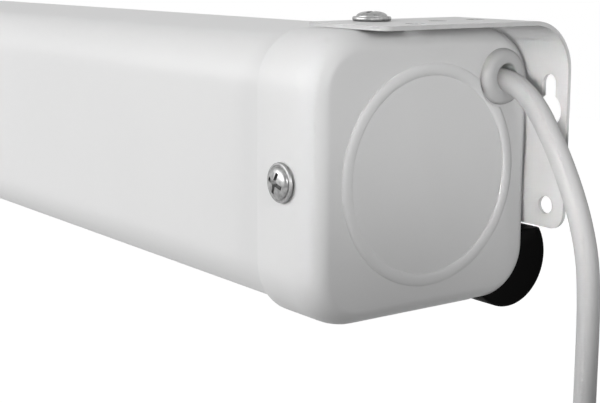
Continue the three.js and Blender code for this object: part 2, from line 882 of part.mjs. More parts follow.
// Saddle that holds the inner lead under the top of the case, where the lead crosses it
function cord_clamp() {
  const bore = cord_radius + fit_gap;
  const wide = bore + clamp_wall;
  const top = inner_high - fit_gap;
  const low = clamp_from_front - clamp_width / 2;
  const high = clamp_from_front + clamp_width / 2;
  const outline = rounded(clamp_z - wide, top, -clamp_from_end - wide, wide - clamp_from_end, clamp_wall, 4);
  return cut(
    prism('y', outline, low, high),
    rod('y', [-clamp_from_end, 0, clamp_z], bore, low - overrun, high + overrun, 20),
  );
}

// The coil's centre line: straight in, over a bend, spiral in, climb a layer, spiral out, straight down
const coil_first_y = cord_y;
const coil_start_z = cord_drop_z - fit_gap;
const bend_start_z = coil_start_z - 2 * cord_radius;
const coil_x = cord_drop_x + coil_entry_bend * (1 - Math.cos(coil_entry_angle))
  - coil_radius * Math.cos(coil_entry_angle);
const coil_z = bend_start_z - coil_entry_bend * Math.sin(coil_entry_angle)
  - coil_radius * Math.sin(coil_entry_angle);

function coil_points(steps_per_turn) {
  const points = [];
  points.push(new THREE.Vector3(cord_drop_x, coil_first_y, coil_start_z));
  points.push(new THREE.Vector3(cord_drop_x, coil_first_y, coil_start_z - cord_radius));
  const bend_steps = Math.round(steps_per_turn * coil_entry_angle / full_turn) + 1;
  for (let i = 0; i < bend_steps; i += 1) {
    const angle = coil_entry_angle * i / bend_steps;
    points.push(new THREE.Vector3(
      cord_drop_x + coil_entry_bend * (1 - Math.cos(angle)),
      coil_first_y,
      bend_start_z - coil_entry_bend * Math.sin(angle),
    ));
  }
  const steps = Math.round(coil_turns * steps_per_turn);
  for (let i = 0; i <= steps; i += 1) {
    const turn = coil_turns * i / steps;
    const inward = coil_turns_in - Math.abs(turn - coil_turns_in);
    const climb = THREE.MathUtils.smoothstep(turn, coil_turns_in - coil_climb_turns / 2,
      coil_turns_in + coil_climb_turns / 2);
    const radius = coil_radius - coil_pitch * inward;
    const angle = coil_entry_angle - full_turn * turn;
    points.push(new THREE.Vector3(
      coil_x + radius * Math.cos(angle),
      coil_first_y - coil_pitch * climb,
      coil_z + radius * Math.sin(angle),
    ));
  }
  const last = points[points.length - 1];
  const tail_steps = Math.round(coil_tail / (2 * cord_radius));
  for (let i = 1; i <= tail_steps; i += 1) {
    points.push(new THREE.Vector3(last.x, last.y, last.z - coil_tail * i / tail_steps));
  }
  return points;
}

const coil_line = coil_points(coil_steps_per_turn);
const coil_end = coil_line[coil_line.length - 1];

// Least gap between two stretches of the coil that are not next to each other on the lead
function coil_gap(points) {
  let least = Infinity;
  const near = coil_steps_per_turn / 3;
  for (let i = 0; i < points.length; i += 1) {
    for (let j = i + Math.round(near); j < points.length; j += 1) {
      least = Math.min(least, points[i].distanceTo(points[j]));
    }
  }
  return least - 2 * cord_radius;
}

console.log(`least gap of the coil to itself: ${coil_gap(coil_line).toFixed(2)} mm, wanted over ${least_coil_gap}`);

// One unbroken tube through the coil's points, each ring of it square to the line
function coil_tube(points, radius, sides) {
  const axis = new THREE.Vector3(0, 1, 0);
  const rings = points.map((point, i) => {
    const before = points[Math.max(i - 1, 0)];
    const after = points[Math.min(i + 1, points.length - 1)];
    const along = after.clone().sub(before).normalize();
    const out = along.clone().cross(axis).normalize();
    const up = out.clone().cross(along);
    return circle(0, 0, radius, sides).map((place) => point.clone()
      .addScaledVector(out, place.x)
      .addScaledVector(up, place.y));
  });
  return loft(rings);
}

// Tie: a flat band round all the turns, a little way past the place where the lead joins the coil
function cord_tie() {
  const turns_at_tie = (coil_entry_angle - tie_angle) / full_turn;
  const outer = coil_radius - coil_pitch * turns_at_tie + cord_radius + tie_slack;
  const inner_turn = coil_turns_in - Math.abs(Math.ceil(coil_turns_in) + turns_at_tie - coil_turns_in);
  const inner = coil_radius - coil_pitch * inner_turn - cord_radius - tie_slack;
  const low_y = coil_first_y - coil_pitch - cord_radius - tie_slack;
  const high_y = coil_first_y + cord_radius + tie_slack;
  const half = tie_width / 2;
  const band = cut(
    prism('z', rounded(inner - tie_metal, outer + tie_metal, low_y - tie_metal, high_y + tie_metal,
      2 * tie_metal, 4), -half, half),
    prism('z', rounded(inner, outer, low_y, high_y, tie_metal, 3), -half - overrun, half + overrun),
  );
  return placed(band, coil_x, 0, coil_z, 0, -tie_angle);
}

const plug_top = coil_end.z - fit_gap;
const plug_face = plug_top - plug_neck_length - plug_shoulder - plug_body;

// Plug: round moulded body with a tapered neck, and a notch at the front and back for the earth clips
function plug() {
  const shoulder = plug_top - plug_neck_length;
  const body = turned('z', [coil_end.x, coil_end.y, 0], [
    [0, plug_top],
    [plug_neck, plug_top],
    [plug_neck_end, shoulder],
    [plug_radius * plug_round_share, shoulder - plug_shoulder * plug_round_height_share],
    [plug_radius, shoulder - plug_shoulder],
    [plug_radius, plug_face],
    [0, plug_face],
  ], 24);
  const notches = [1, -1].map((side) => {
    const near = coil_end.y + side * (plug_radius - clip_notch);
    const far = coil_end.y + side * (plug_radius + overrun);
    const half = clip_width / 2 + fit_gap;
    return prism('z', rectangle(coil_end.x - half, coil_end.x + half, Math.min(near, far), Math.max(near, far)),
      plug_face - overrun, plug_face + clip_length + fit_gap);
  });
  return cut(body, ...notches);
}

function plug_pin(side) {
  const x = coil_end.x + side * plug_pin_spacing / 2;
  const top = plug_face - fit_gap;
  return turned('z', [x, coil_end.y, 0], [
    [0, top],
    [plug_pin_radius, top],
    [plug_pin_radius, top - plug_pin_length + plug_pin_radius],
    [plug_pin_radius * pin_tip_share, top - plug_pin_length],
    [0, top - plug_pin_length],
  ], 12);
}

function plug_clip(side) {
  const near = coil_end.y + side * (plug_radius - clip_notch + fit_gap);
  const far = near + side * clip_thickness;
  const half = clip_width / 2;
  return prism('z', rectangle(coil_end.x - half, coil_end.x + half, Math.min(near, far), Math.max(near, far)),
    plug_face, plug_face + clip_length);
}

// Finishes, as new materials so that each piece has its own
const white_paint = () => new THREE.MeshStandardMaterial({ color: 0xe2e2e2, roughness: 0.45, metalness: 0 });
const white_plastic = () => new THREE.MeshStandardMaterial({ color: 0xdedede, roughness: 0.5, metalness: 0 });
const zinc = () => new THREE.MeshStandardMaterial({ color: 0xb4b4b2, roughness: 0.35, metalness: 1 });
const cast_metal = () => new THREE.MeshStandardMaterial({ color: 0x9a9c9e, roughness: 0.6, metalness: 1 });
const drawn_metal = () => new THREE.MeshStandardMaterial({ color: 0xd8d8d8, roughness: 0.4, metalness: 0 });
const black_plastic = () => new THREE.MeshStandardMaterial({ color: 0x141414, roughness: 0.45, metalness: 0 });
const grey_plastic = () => new THREE.MeshStandardMaterial({ color: 0x7d8084, roughness: 0.55, metalness: 0 });
const white_rubber = () => new THREE.MeshStandardMaterial({ color: 0xd9d9d7, roughness: 0.5, metalness: 0 });
const screen_fabric = () => new THREE.MeshStandardMaterial({ color: 0xefefef, roughness: 0.9, metalness: 0 });
const brass = () => new THREE.MeshStandardMaterial({ color: 0xc9a35a, roughness: 0.3, metalness: 1 });

const group = new THREE.Group();
const assembly = new THREE.Group();
assembly.position.set(bracket_middle, -wall_y, -cap_middle);
group.add(assembly);

function add(name, body, finish, on_left = false) {
  const mesh = new THREE.Mesh(geometry_of(body, on_left), finish());
  mesh.name = name;
  assembly.add(mesh);
}

add('case_shell', case_shell(), white_paint);
for (const [side, on_left] of [['right', false], ['left', true]]) {
  add(`end_cap_${side}`, end_cap(!on_left), white_plastic, on_left);
  add(`end_plate_${side}`, end_plate(!on_left), cast_metal, on_left);
  add(`wall_bracket_${side}`, wall_bracket(), white_paint, on_left);
  add(`bar_cap_${side}`, bar_cap(), black_plastic, on_left);
  const bracket_screw = placed(pan_screw(bracket_screw_shank, bracket_screw_length),
    -bracket_screw_from_end, bracket_screw_from_front, bracket_top + contact_gap);
  add(`bracket_screw_${side}`, bracket_screw, zinc, on_left);
  add(`bracket_nut_${side}`, bracket_nut(), zinc, on_left);
  const cap_screw = pan_screw(cap_screw_shank, cap_screw_length);
  add(`cap_screw_front_${side}`, placed(cap_screw, -cap_screw_from_end, -contact_gap, cap_middle,
    quarter_turn), zinc, on_left);
  add(`cap_screw_rear_${side}`, placed(cap_screw, -cap_screw_from_end, cap_size + contact_gap, cap_middle,
    -quarter_turn), zinc, on_left);
}

add('motor_head', motor_head(), black_plastic);
add('motor_body', rod('x', [0, roller_y, roller_z], motor_radius,
  -motor_from_end - motor_length, -motor_from_end, 40), zinc);
for (const [name, side] of [['upper', 1], ['lower', -1]]) {
  const motor_screw = placed(pan_screw(motor_screw_shank, motor_screw_length),
    -plate_from_end + contact_gap, roller_y, roller_z + side * motor_screw_spread, 0, quarter_turn);
  add(`motor_screw_${name}`, motor_screw, zinc);
}
add('limit_screw_down', limit_screw(1), brass);
add('limit_screw_up', limit_screw(-1), brass);
add('motor_crown', tube_plug(motor_radius + fit_gap), grey_plastic);
add('drive_shaft', rod('x', [0, roller_y, roller_z], shaft_radius,
  -shaft_from_end - shaft_length, -shaft_from_end, 24), zinc);
add('drive_wheel', drive_wheel(), grey_plastic);
add('roller_tube', roller_ring(tube_inner, tube_radius, tube_from_end - case_length, -tube_from_end), zinc);
add('wound_fabric', roller_ring(wound_inner, wound_radius, fabric_from_end - case_length, -fabric_from_end),
  screen_fabric);
add('idler_plug', tube_plug(pin_radius + fit_gap), grey_plastic, true);
add('idler_pin', idler_pin(), zinc, true);
add('idler_bush', idler_bush(), white_plastic, true);

add('bottom_bar', bottom_bar(), drawn_metal);
add('bar_weight_rod', bar_weight_rod(), cast_metal);
add('fabric_spline', fabric_spline(), screen_fabric);
add('fabric_drop', fabric_drop(), screen_fabric);

add('receiver_box', receiver_box(), black_plastic);
add('motor_lead', tube_along(curve_through(motor_lead_route), lead_radius, 10, 8), black_plastic);
add('inner_lead', tube_along(curve_through(inner_lead_route), cord_radius, 22, 8), white_rubber);
add('cord_grommet', cord_grommet(), white_plastic);
add('cord_clamp', cord_clamp(), white_plastic);

add('power_cord', tube_along(curve_through(cord_route), cord_radius, 16, 10), white_rubber);
add('cord_coil', coil_tube(coil_line, cord_radius, coil_sides), white_rubber);
add('cord_tie', cord_tie(), white_plastic);
add('plug_body', plug(), white_plastic);
add('plug_pin_right', plug_pin(1), brass);
add('plug_pin_left', plug_pin(-1), brass);
add('plug_clip_rear', plug_clip(1), brass);
add('plug_clip_front', plug_clip(-1), brass);

export default group;
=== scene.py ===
import json
import math

import bmesh
import bpy
import numpy as np
from mathutils import Matrix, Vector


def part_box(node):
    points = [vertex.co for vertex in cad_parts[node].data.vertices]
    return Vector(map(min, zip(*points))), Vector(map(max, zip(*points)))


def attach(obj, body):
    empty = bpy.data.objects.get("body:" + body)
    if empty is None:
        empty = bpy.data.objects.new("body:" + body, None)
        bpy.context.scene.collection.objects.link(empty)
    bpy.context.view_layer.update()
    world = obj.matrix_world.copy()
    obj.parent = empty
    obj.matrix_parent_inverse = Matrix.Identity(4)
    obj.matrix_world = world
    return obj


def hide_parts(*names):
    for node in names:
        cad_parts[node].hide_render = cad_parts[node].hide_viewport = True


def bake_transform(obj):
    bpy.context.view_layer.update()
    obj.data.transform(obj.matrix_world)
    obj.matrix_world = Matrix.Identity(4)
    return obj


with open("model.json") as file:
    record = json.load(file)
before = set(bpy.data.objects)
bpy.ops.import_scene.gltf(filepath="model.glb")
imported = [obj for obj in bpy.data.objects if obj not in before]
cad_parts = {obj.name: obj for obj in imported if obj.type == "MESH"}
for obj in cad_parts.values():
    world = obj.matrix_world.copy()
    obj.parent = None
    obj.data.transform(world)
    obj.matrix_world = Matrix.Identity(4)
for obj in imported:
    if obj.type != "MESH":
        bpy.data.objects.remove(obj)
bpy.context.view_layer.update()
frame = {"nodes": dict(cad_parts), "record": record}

nodes = frame["nodes"]


# The camera stands close to the right-hand end, as the photograph was taken.
# Its place was solved from the straight edges of the case, the cap and the bracket.
PHOTO_WIDTH = 600
FOCAL_PIXELS = 1304.6
CAMERA_PLACE = (0.2767, -0.2878, 0.0582)
CAMERA_YAW, CAMERA_PITCH, CAMERA_ROLL = (math.radians(a) for a in (53.77, 10.51, -0.19))


def add_object(name, data):
    """A new object that holds the data, linked into the scene."""
    made = bpy.data.objects.new(name, data)
    bpy.context.scene.collection.objects.link(made)
    return made


def set_up(thing, right, up, back, place):
    """The object stands at the place, its own X, Y and Z along the three directions."""
    turn = np.eye(4)
    turn[:3] = np.stack([right, up, back, place], 1)
    thing.matrix_world = Matrix(turn.tolist())


def aim_camera():
    """The camera looks along yaw and pitch; roll turns the picture's own axes about that line."""
    yaw, pitch, roll = CAMERA_YAW, CAMERA_PITCH, CAMERA_ROLL
    ahead = np.array([
        -math.sin(yaw) * math.cos(pitch), math.cos(yaw) * math.cos(pitch), -math.sin(pitch)])
    level = np.array([math.cos(yaw), math.sin(yaw), 0.0])
    down = np.cross(ahead, level)
    right = math.cos(roll) * level + math.sin(roll) * down
    up = math.sin(roll) * level - math.cos(roll) * down
    lens = bpy.data.cameras.new("photo_camera")
    lens.sensor_fit = "HORIZONTAL"
    lens.lens = FOCAL_PIXELS / PHOTO_WIDTH * lens.sensor_width
    lens.clip_start, lens.clip_end = 0.01, 100
    camera = add_object("photo_camera", lens)
    set_up(camera, right, up, -ahead, CAMERA_PLACE)
    bpy.context.scene.camera = camera


aim_camera()


# The mains lead is one length of round white sheathed cable, 6.2 mm thick. It leaves the grommet,
# droops in the open, and what the photograph doesn't show of it is wound into a hanging coil.
# Its route is given as (out, back, up) from the lower front corner of the cap's face.
END_FACE_PAST_CASE = 0.0063
END_FACE_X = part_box("case_shell")[1][0] + END_FACE_PAST_CASE
CORNER = np.array([END_FACE_X, *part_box("end_cap_right")[0][1:]])
CORD_DIAMETER = 0.0062
CORD_BACK = 0.0656
CORD_ROUTE = [(out, CORD_BACK, up) for out, up in (
    (-0.00195, 0.0655), (0.0006, 0.0652), (0.0028, 0.06485), (0.0048, 0.0644), (0.0076, 0.0633),
    (0.0115, 0.0608), (0.0157, 0.0567), (0.02, 0.051), (0.0244, 0.0442), (0.0286, 0.0365),
    (0.0322, 0.028), (0.0347, 0.0188), (0.0357, 0.0089), (0.036, -0.0015), (0.036, -0.0123),
    (0.036, -0.0235))]
COIL_LEAD_IN = 0.0065
COIL_RADIUS, COIL_PITCH = 0.047, 0.0072
COIL_TURNS_IN, COIL_TURNS, COIL_CLIMB, COIL_TURN_BACK = 2.75, 5.2083, 0.5, 0.02
COIL_ENTRY, COIL_ENTRY_BEND, COIL_TAIL = math.radians(75), 0.040, 0.033


def curve_through(points, steps):
    """Catmull-Rom: each span is a cubic whose end slopes are half the step between neighbours."""
    p = np.asarray(points, float)
    p = np.vstack([2 * p[0] - p[1], p, 2 * p[-1] - p[-2]])
    t = np.linspace(0, 1, steps, endpoint=False)[None, :, None]
    a, b, c, d = (p[i:len(p) - 3 + i, None, :] for i in range(4))
    spans = b + 0.5 * t * (c - a + t * (2 * a - 5 * b + 4 * c - d + t * (3 * (b - c) + d - a)))
    return np.vstack([spans.reshape(-1, 3), p[-2]])


def coil_line():
    """Straight down, over a round bend, a spiral whose radius falls and then rises by one pitch
    a turn, stepping one pitch forward where it turns back, and straight down to the plug."""
    x, y, z = CORD_ROUTE[-1]
    bend = z - COIL_LEAD_IN
    middle_x = (x + COIL_ENTRY_BEND * (1 - math.cos(COIL_ENTRY))
                - COIL_RADIUS * math.cos(COIL_ENTRY))
    middle_z = bend - (COIL_ENTRY_BEND + COIL_RADIUS) * math.sin(COIL_ENTRY)
    a = np.linspace(0, COIL_ENTRY, 24, endpoint=False)
    over = np.stack([x + COIL_ENTRY_BEND * (1 - np.cos(a)), np.full_like(a, y),
                     bend - COIL_ENTRY_BEND * np.sin(a)], 1)
    turn = np.linspace(0, COIL_TURNS, 360)
    off = turn - COIL_TURNS_IN
    radius = COIL_RADIUS - COIL_PITCH * (COIL_TURNS_IN - np.hypot(off, COIL_TURN_BACK))
    step = np.clip(off / COIL_CLIMB + 0.5, 0, 1)
    angle = COIL_ENTRY - 2 * math.pi * turn
    wound = np.stack([middle_x + radius * np.cos(angle),
                      y - COIL_PITCH * step * step * (3 - 2 * step),
                      middle_z + radius * np.sin(angle)], 1)
    tail = wound[-1] - np.outer(np.linspace(0, COIL_TAIL, 12)[1:], (0, 0, 1))
    return np.vstack([over, wound, tail])


def surface(name, grid, wrap=False, ends=(False, False)):
    """A grid of points as one mesh: rows joined to rows, columns closed round if wrap is set,
    and the first and last rows filled if ends say so."""
    rows, columns = grid.shape[:2]
    r, c = np.meshgrid(np.arange(rows - 1), np.arange(columns if wrap else columns - 1),
                       indexing="ij")
    a, b = r * columns + c, r * columns + (c + 1) % columns
    faces = np.stack([a, b, b + columns, a + columns], -1).reshape(-1, 4).tolist()
    if ends[0]:
        faces.append(list(range(columns))[::-1])
    if ends[1]:
        faces.append(list(range((rows - 1) * columns, rows * columns)))
    mesh = bpy.data.meshes.new(name)
    mesh.from_pydata(grid.reshape(-1, 3).tolist(), [], faces)
    return add_object(name, mesh)


def tidy_faces(piece, sharp=None):
    """Doubled points merged, faces turned outwards, and all shaded smooth but for edges that are
    sharper than an angle."""
    work = bmesh.new()
    work.from_mesh(piece.data)
    bmesh.ops.remove_doubles(work, verts=work.verts, dist=1e-6)
    bmesh.ops.recalc_face_normals(work, faces=work.faces)
    work.to_mesh(piece.data)
    work.free()
    faces = piece.data.polygons
    faces.foreach_set("use_smooth", np.ones(len(faces), bool))
    if sharp is not None:
        piece.data.set_sharp_from_angle(angle=math.radians(sharp))


def tube(name, path, radius, sides):
    """A ring of points about each point of the path and square to it. The path stays near one
    upright plane, so each ring starts from the direction square to that plane."""
    along = np.gradient(path, axis=0)
    along /= np.linalg.norm(along, axis=1, keepdims=True)
    out = np.cross(along, (0, 1, 0))
    out /= np.linalg.norm(out, axis=1, keepdims=True)
    up = np.cross(out, along)
    a = np.linspace(0, 2 * math.pi, sides, endpoint=False)[None, :, None]
    grid = path[:, None] + radius * (np.cos(a) * out[:, None] + np.sin(a) * up[:, None])
    piece = surface(name, grid, wrap=True, ends=(True, True))
    tidy_faces(piece, 50)
    return piece


def linear(red, green, blue):
    """A screen colour, 0 to 255, as the light that it stands for."""
    c = np.array([red, green, blue]) / 255
    return [*np.where(c <= 0.04045, c / 12.92, ((c + 0.055) / 1.055) ** 2.4), 1.0]


def coat(name, colour, roughness, metallic=0.0, specular=0.5, shade=0.03, uneven=0.06,
         patch=0.01, grain=0.0004, depth=0.00001):
    """A colour that drifts by a share over patches, roughness that drifts with it by its own
    share, and a fine grain as bump. Patch, grain and depth are in metres."""
    material = bpy.data.materials.new(name)
    material.use_nodes = True
    tree = material.node_tree
    join = tree.links.new
    shader = tree.nodes["Principled BSDF"]
    place = tree.nodes.new("ShaderNodeTexCoord")
    drift = tree.nodes.new("ShaderNodeTexNoise")
    fine = tree.nodes.new("ShaderNodeTexNoise")
    for noise, size, detail in ((drift, patch, 4), (fine, grain, 3)):
        noise.inputs["Scale"].default_value = 1 / size
        noise.inputs["Detail"].default_value = detail
        join(place.outputs["Object"], noise.inputs["Vector"])
    ramp = tree.nodes.new("ShaderNodeValToRGB")
    base = np.array(linear(*colour))[:3]
    stops = zip(ramp.color_ramp.elements, (0.3, 0.7), (1 - shade, 1 + shade))
    for stop, position, share in stops:
        stop.position = position
        stop.color = [*np.minimum(base * share, 1), 1.0]
    rough = tree.nodes.new("ShaderNodeMapRange")
    rough.inputs["To Min"].default_value = roughness * (1 - uneven)
    rough.inputs["To Max"].default_value = roughness * (1 + uneven)
    bump = tree.nodes.new("ShaderNodeBump")
    bump.inputs["Strength"].default_value = 1
    bump.inputs["Distance"].default_value = depth
    join(drift.outputs["Fac"], ramp.inputs["Fac"])
    join(ramp.outputs["Color"], shader.inputs["Base Color"])
    join(drift.outputs["Fac"], rough.inputs["Value"])
    join(rough.outputs["Result"], shader.inputs["Roughness"])
    join(fine.outputs["Fac"], bump.inputs["Height"])
    join(bump.outputs["Normal"], shader.inputs["Normal"])
    shader.inputs["Metallic"].default_value = metallic
    shader.inputs["Specular IOR Level"].default_value = specular
    return material


def dress(piece, *materials):
    """The piece wears these materials and no others; its faces wear the first until told."""
    piece.data.materials.clear()
    for material in materials:
        piece.data.materials.append(material)


cord_sheath = coat("cord_sheath", (192, 192, 192), 0.6, shade=0.015,
                   patch=0.02, grain=0.0006, depth=0.000012)
cord_path = np.vstack([curve_through(CORD_ROUTE, 6), coil_line()]) + CORNER
mains_lead = tube("mains_lead", cord_path, CORD_DIAMETER / 2, 28)
dress(mains_lead, cord_sheath)
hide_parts("power_cord", "cord_coil")
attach(mains_lead, "root")


# The lead ends in a white moulded plug: a ribbed neck round the cable, a round body with soft edges
# and grip grooves, and notches at its front and back for the earth clips. Its two pins are brass.
NOTCH_HALF, NOTCH_NEAR, NOTCH_FAR, NOTCH_RISE = 0.0035, 0.0153, 0.0200, 0.0113
NOTCH_BELOW = 0.001


def other_axes(axis):
    """The two axes that follow this one in the round of X, Y and Z."""
    return (axis + 1) % 3, (axis + 2) % 3


def block(name, outline, axis, start, end):
    """A flat outline pushed along an axis: (Y, Z) along X, (Z, X) along Y, (X, Y) along Z."""
    flat = np.asarray(outline, float)
    grid = np.empty((2, len(flat), 3))
    first, second = other_axes(axis)
    grid[:, :, first], grid[:, :, second] = flat[:, 0], flat[:, 1]
    grid[0, :, axis], grid[1, :, axis] = start, end
    return surface(name, grid, wrap=True, ends=(True, True))


def round_outline(a, b, radius, steps=48):
    """Points of a circle about (a, b), evenly turned."""
    angle = np.linspace(0, 2 * math.pi, steps, endpoint=False)
    return np.stack([a + radius * np.cos(angle), b + radius * np.sin(angle)], 1)


def oblong(middle, half, start, end):
    """The corners of an oblong: half to each side of the middle, and from start to end."""
    low, high = middle - half, middle + half
    return [(low, start), (high, start), (high, end), (low, end)]


def cut_away(piece, *tools):
    """Each tool's room is taken out of the piece, and the tool is thrown away."""
    for tool in tools:
        tidy_faces(tool)
        change = piece.modifiers.new("cut", "BOOLEAN")
        change.operation, change.solver, change.object = "DIFFERENCE", "EXACT", tool
    bpy.context.view_layer.update()
    seen = piece.evaluated_get(bpy.context.evaluated_depsgraph_get())
    mesh = bpy.data.meshes.new_from_object(seen)
    piece.modifiers.clear()
    old, piece.data = piece.data, mesh
    mesh.name = piece.name
    bpy.data.meshes.remove(old)
    for tool in tools:
        bpy.data.objects.remove(tool)


def stood(grid, place, axis):
    """Points drawn about an upright line, moved so that the line runs from the place along an
    axis: 1, 2 and 3 are X, Y and Z, and with a minus the other way."""
    along = abs(axis) - 1
    first, second = other_axes(along)
    placed = np.empty_like(grid)
    placed[..., first], placed[..., second] = grid[..., 0], grid[..., 1]
    placed[..., along] = grid[..., 2] * (1 if axis > 0 else -1)
    return placed + np.asarray(place, float)


def turned(name, profile, place, axis, steps=64):
    """A profile of (radius, along) pairs turned about an axis through a place."""
    a = np.linspace(0, 2 * math.pi, steps, endpoint=False)
    grid = np.empty((len(profile), steps, 3))
    grid[:, :, 0] = profile[:, :1] * np.cos(a)
    grid[:, :, 1] = profile[:, :1] * np.sin(a)
    grid[:, :, 2] = profile[:, 1:]
    return surface(name, stood(grid, place, axis), wrap=True, ends=(True, True))


def plug_profile(radius, height):
    """Half the outline from the face up: a soft lower edge, a side whose grooves are the dips of
    a cosine, a shoulder like a quarter of an ellipse, and a neck ribbed by a sine."""
    neck, neck_end, neck_length, groove, skin = 0.0062, 0.0044, 0.018, 0.0005, 0.0006
    soft, grip_low, grip_high, grip_pitch = 0.0014, 0.002, 0.0135, 0.0023
    ledge, rib_pitch, rib_end = 0.0012, 0.0030, 0.0165
    a = np.linspace(0, math.pi / 2, 7)
    foot = np.stack([radius - soft * (1 - np.sin(a)), soft * (1 - np.cos(a))], 1)
    up = np.linspace(grip_low, grip_high, 47)
    dips = np.clip(np.cos((up - grip_low) / grip_pitch * 2 * math.pi) * -3 - 1.5, 0, 1)
    side = np.stack([radius - groove * dips, up], 1)
    b = np.linspace(0, math.pi / 2, 16)[1:]
    top = height - neck_length - skin
    shoulder = np.stack([neck + ledge + (radius - neck - ledge) * np.cos(b) ** 0.85,
                         grip_high + (top - grip_high) * np.sin(b) ** 1.1], 1)
    z = np.linspace(0, neck_length, 61)
    ribs = groove * 1.2 * np.clip(np.sin(z / rib_pitch * 2 * math.pi) * 2, -1, 0) * (z < rib_end)
    tail = np.stack([neck + (neck_end - neck) * z / neck_length + ribs,
                     height - neck_length + z], 1)
    mouth = [(neck_end - skin, height), (0, height)]
    return np.vstack([[(0, 0)], foot, side, shoulder, tail, mouth])


def pin_profile(radius, length):
    """Half the outline of a pin, from its root down to a half-round tip."""
    a = np.linspace(0, math.pi / 2, 9)
    tip = np.stack([radius * np.cos(a), -(length - radius) - radius * np.sin(a)], 1)
    tip[-1, 0] = 0
    return np.vstack([[(0, 0), (radius, 0)], tip])


plug_plastic = coat("plug_plastic", (214, 214, 214), 0.42, shade=0.012,
                    patch=0.01, grain=0.0005, depth=0.00001)
pin_brass = coat("pin_brass", (206, 172, 108), 0.24, metallic=1.0, shade=0.06,
                 patch=0.003, grain=0.0004, depth=0.000006)
plug_low, plug_high = (np.array(c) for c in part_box("plug_body"))
plug_x, plug_y = (plug_low[:2] + plug_high[:2]) / 2
plug = turned("plug_moulding",
              plug_profile((plug_high[0] - plug_low[0]) / 2, plug_high[2] - plug_low[2]),
              (plug_x, plug_y, plug_low[2]), 3)
tidy_faces(plug)
cut_away(plug, *(
    block("notch", oblong(plug_x, NOTCH_HALF, plug_y + way * NOTCH_NEAR, plug_y + way * NOTCH_FAR),
          2, plug_low[2] - NOTCH_BELOW, plug_low[2] + NOTCH_RISE)
    for way in (-1, 1)))
tidy_faces(plug, 35)
dress(plug, plug_plastic)
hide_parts("plug_body")
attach(plug, "root")
for side in ("right", "left"):
    pin_low, pin_high = (np.array(c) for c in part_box("plug_pin_" + side))
    root = [*((pin_low[:2] + pin_high[:2]) / 2), pin_high[2]]
    pin = turned("plug_pin_turned_" + side,
                 pin_profile((pin_high[0] - pin_low[0]) / 2, pin_high[2] - pin_low[2]),
                 root, 3, 32)
    tidy_faces(pin, 40)
    dress(pin, pin_brass)
    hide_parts("plug_pin_" + side)
    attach(pin, "root")


# The end caps are white mouldings that slide over the case: a flat face with a round bead,
# a wide soft edge, and a sleeve that stands 2 mm proud of the case and ends in a small round.
# Each is open below for the bottom bar and drilled for its screws, and the right one also for the
# lead.
CAP = 0.080
CAP_CORNER, CAP_SLEEVE, CAP_LIP, LEAST_CORNER = 0.016, 0.026, 0.0017, 0.0005
CAP_FACE, CAP_SEAT = 0.0026, 0.006
CAP_ROUND_DEPTH, CAP_ROUND_INSET, CAP_HOLLOW_INSET = 0.010, 0.0055, 0.0075
RIM_ROUND = 0.0007
BEAD_INNER, BEAD_OUTER, BEAD_HEIGHT = 0.0275, 0.031, 0.0009
FACE_MIDDLE, BEAD_SKIRT_IN, BEAD_SKIRT_OUT = 0.004, 0.0004, 0.0003
BAR_RADIUS, BAR_FLAT, BAR_GAP = 0.0146, 0.0082, 0.0012
BAR_Y = (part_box("bar_cap_right")[0][1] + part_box("bar_cap_right")[1][1]) / 2
BAR_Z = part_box("bar_cap_right")[1][2] - BAR_FLAT
BAR_ROOM_BELOW, BAR_ROOM_DEPTH = 0.03, 0.05
CAP_SCREW_FROM_END, CAP_SCREW_HOLE = 0.0139, 0.0023
BRACKET_SCREW_FROM_END, BRACKET_SCREW_FROM_FRONT, BRACKET_SCREW_HOLE = 0.022, 0.0365, 0.0028
CORD_HOLE_UP = 0.0658
CORD_Y, CORD_Z = CORNER[1] + CORD_BACK, CORNER[2] + CORD_HOLE_UP
GROMMET_NECK, GROMMET_SLACK, GROMMET_SEAT = 0.0056, 0.0003, 0.00855
CUT_PAST = 0.01
case_middle_x = (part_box("end_cap_right")[1][0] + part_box("end_cap_left")[0][0]) / 2


def at_end(x, left):
    """An X of the right-hand end, or its mirror image about the middle of the case."""
    return 2 * case_middle_x - x if left else x


def handed(points, left):
    """Points drawn for the right-hand end, mirrored for the left-hand one."""
    points = points.copy()
    points[..., 0] = at_end(points[..., 0], left)
    return points


def square_ring(inset):
    """A square with round corners drawn in by an inset, as (across, up) from its middle. It has
    14 steps on each corner's arc and 10 on each straight side, and turns a quarter four times."""
    half, radius = CAP / 2 - inset, max(CAP_CORNER - inset, LEAST_CORNER)
    flat = half - radius
    a = np.linspace(0, math.pi / 2, 15)
    corner = np.stack([flat + radius * np.cos(a), flat + radius * np.sin(a)], 1)
    edge = np.linspace(1, -1, 11)[1:-1]
    side = np.stack([flat * edge, np.full_like(edge, half)], 1)
    quarter = np.vstack([corner, side])
    turns = [np.array([[math.cos(q), -math.sin(q)], [math.sin(q), math.cos(q)]])
             for q in np.arange(4) * math.pi / 2]
    return np.vstack([quarter @ t.T for t in turns])


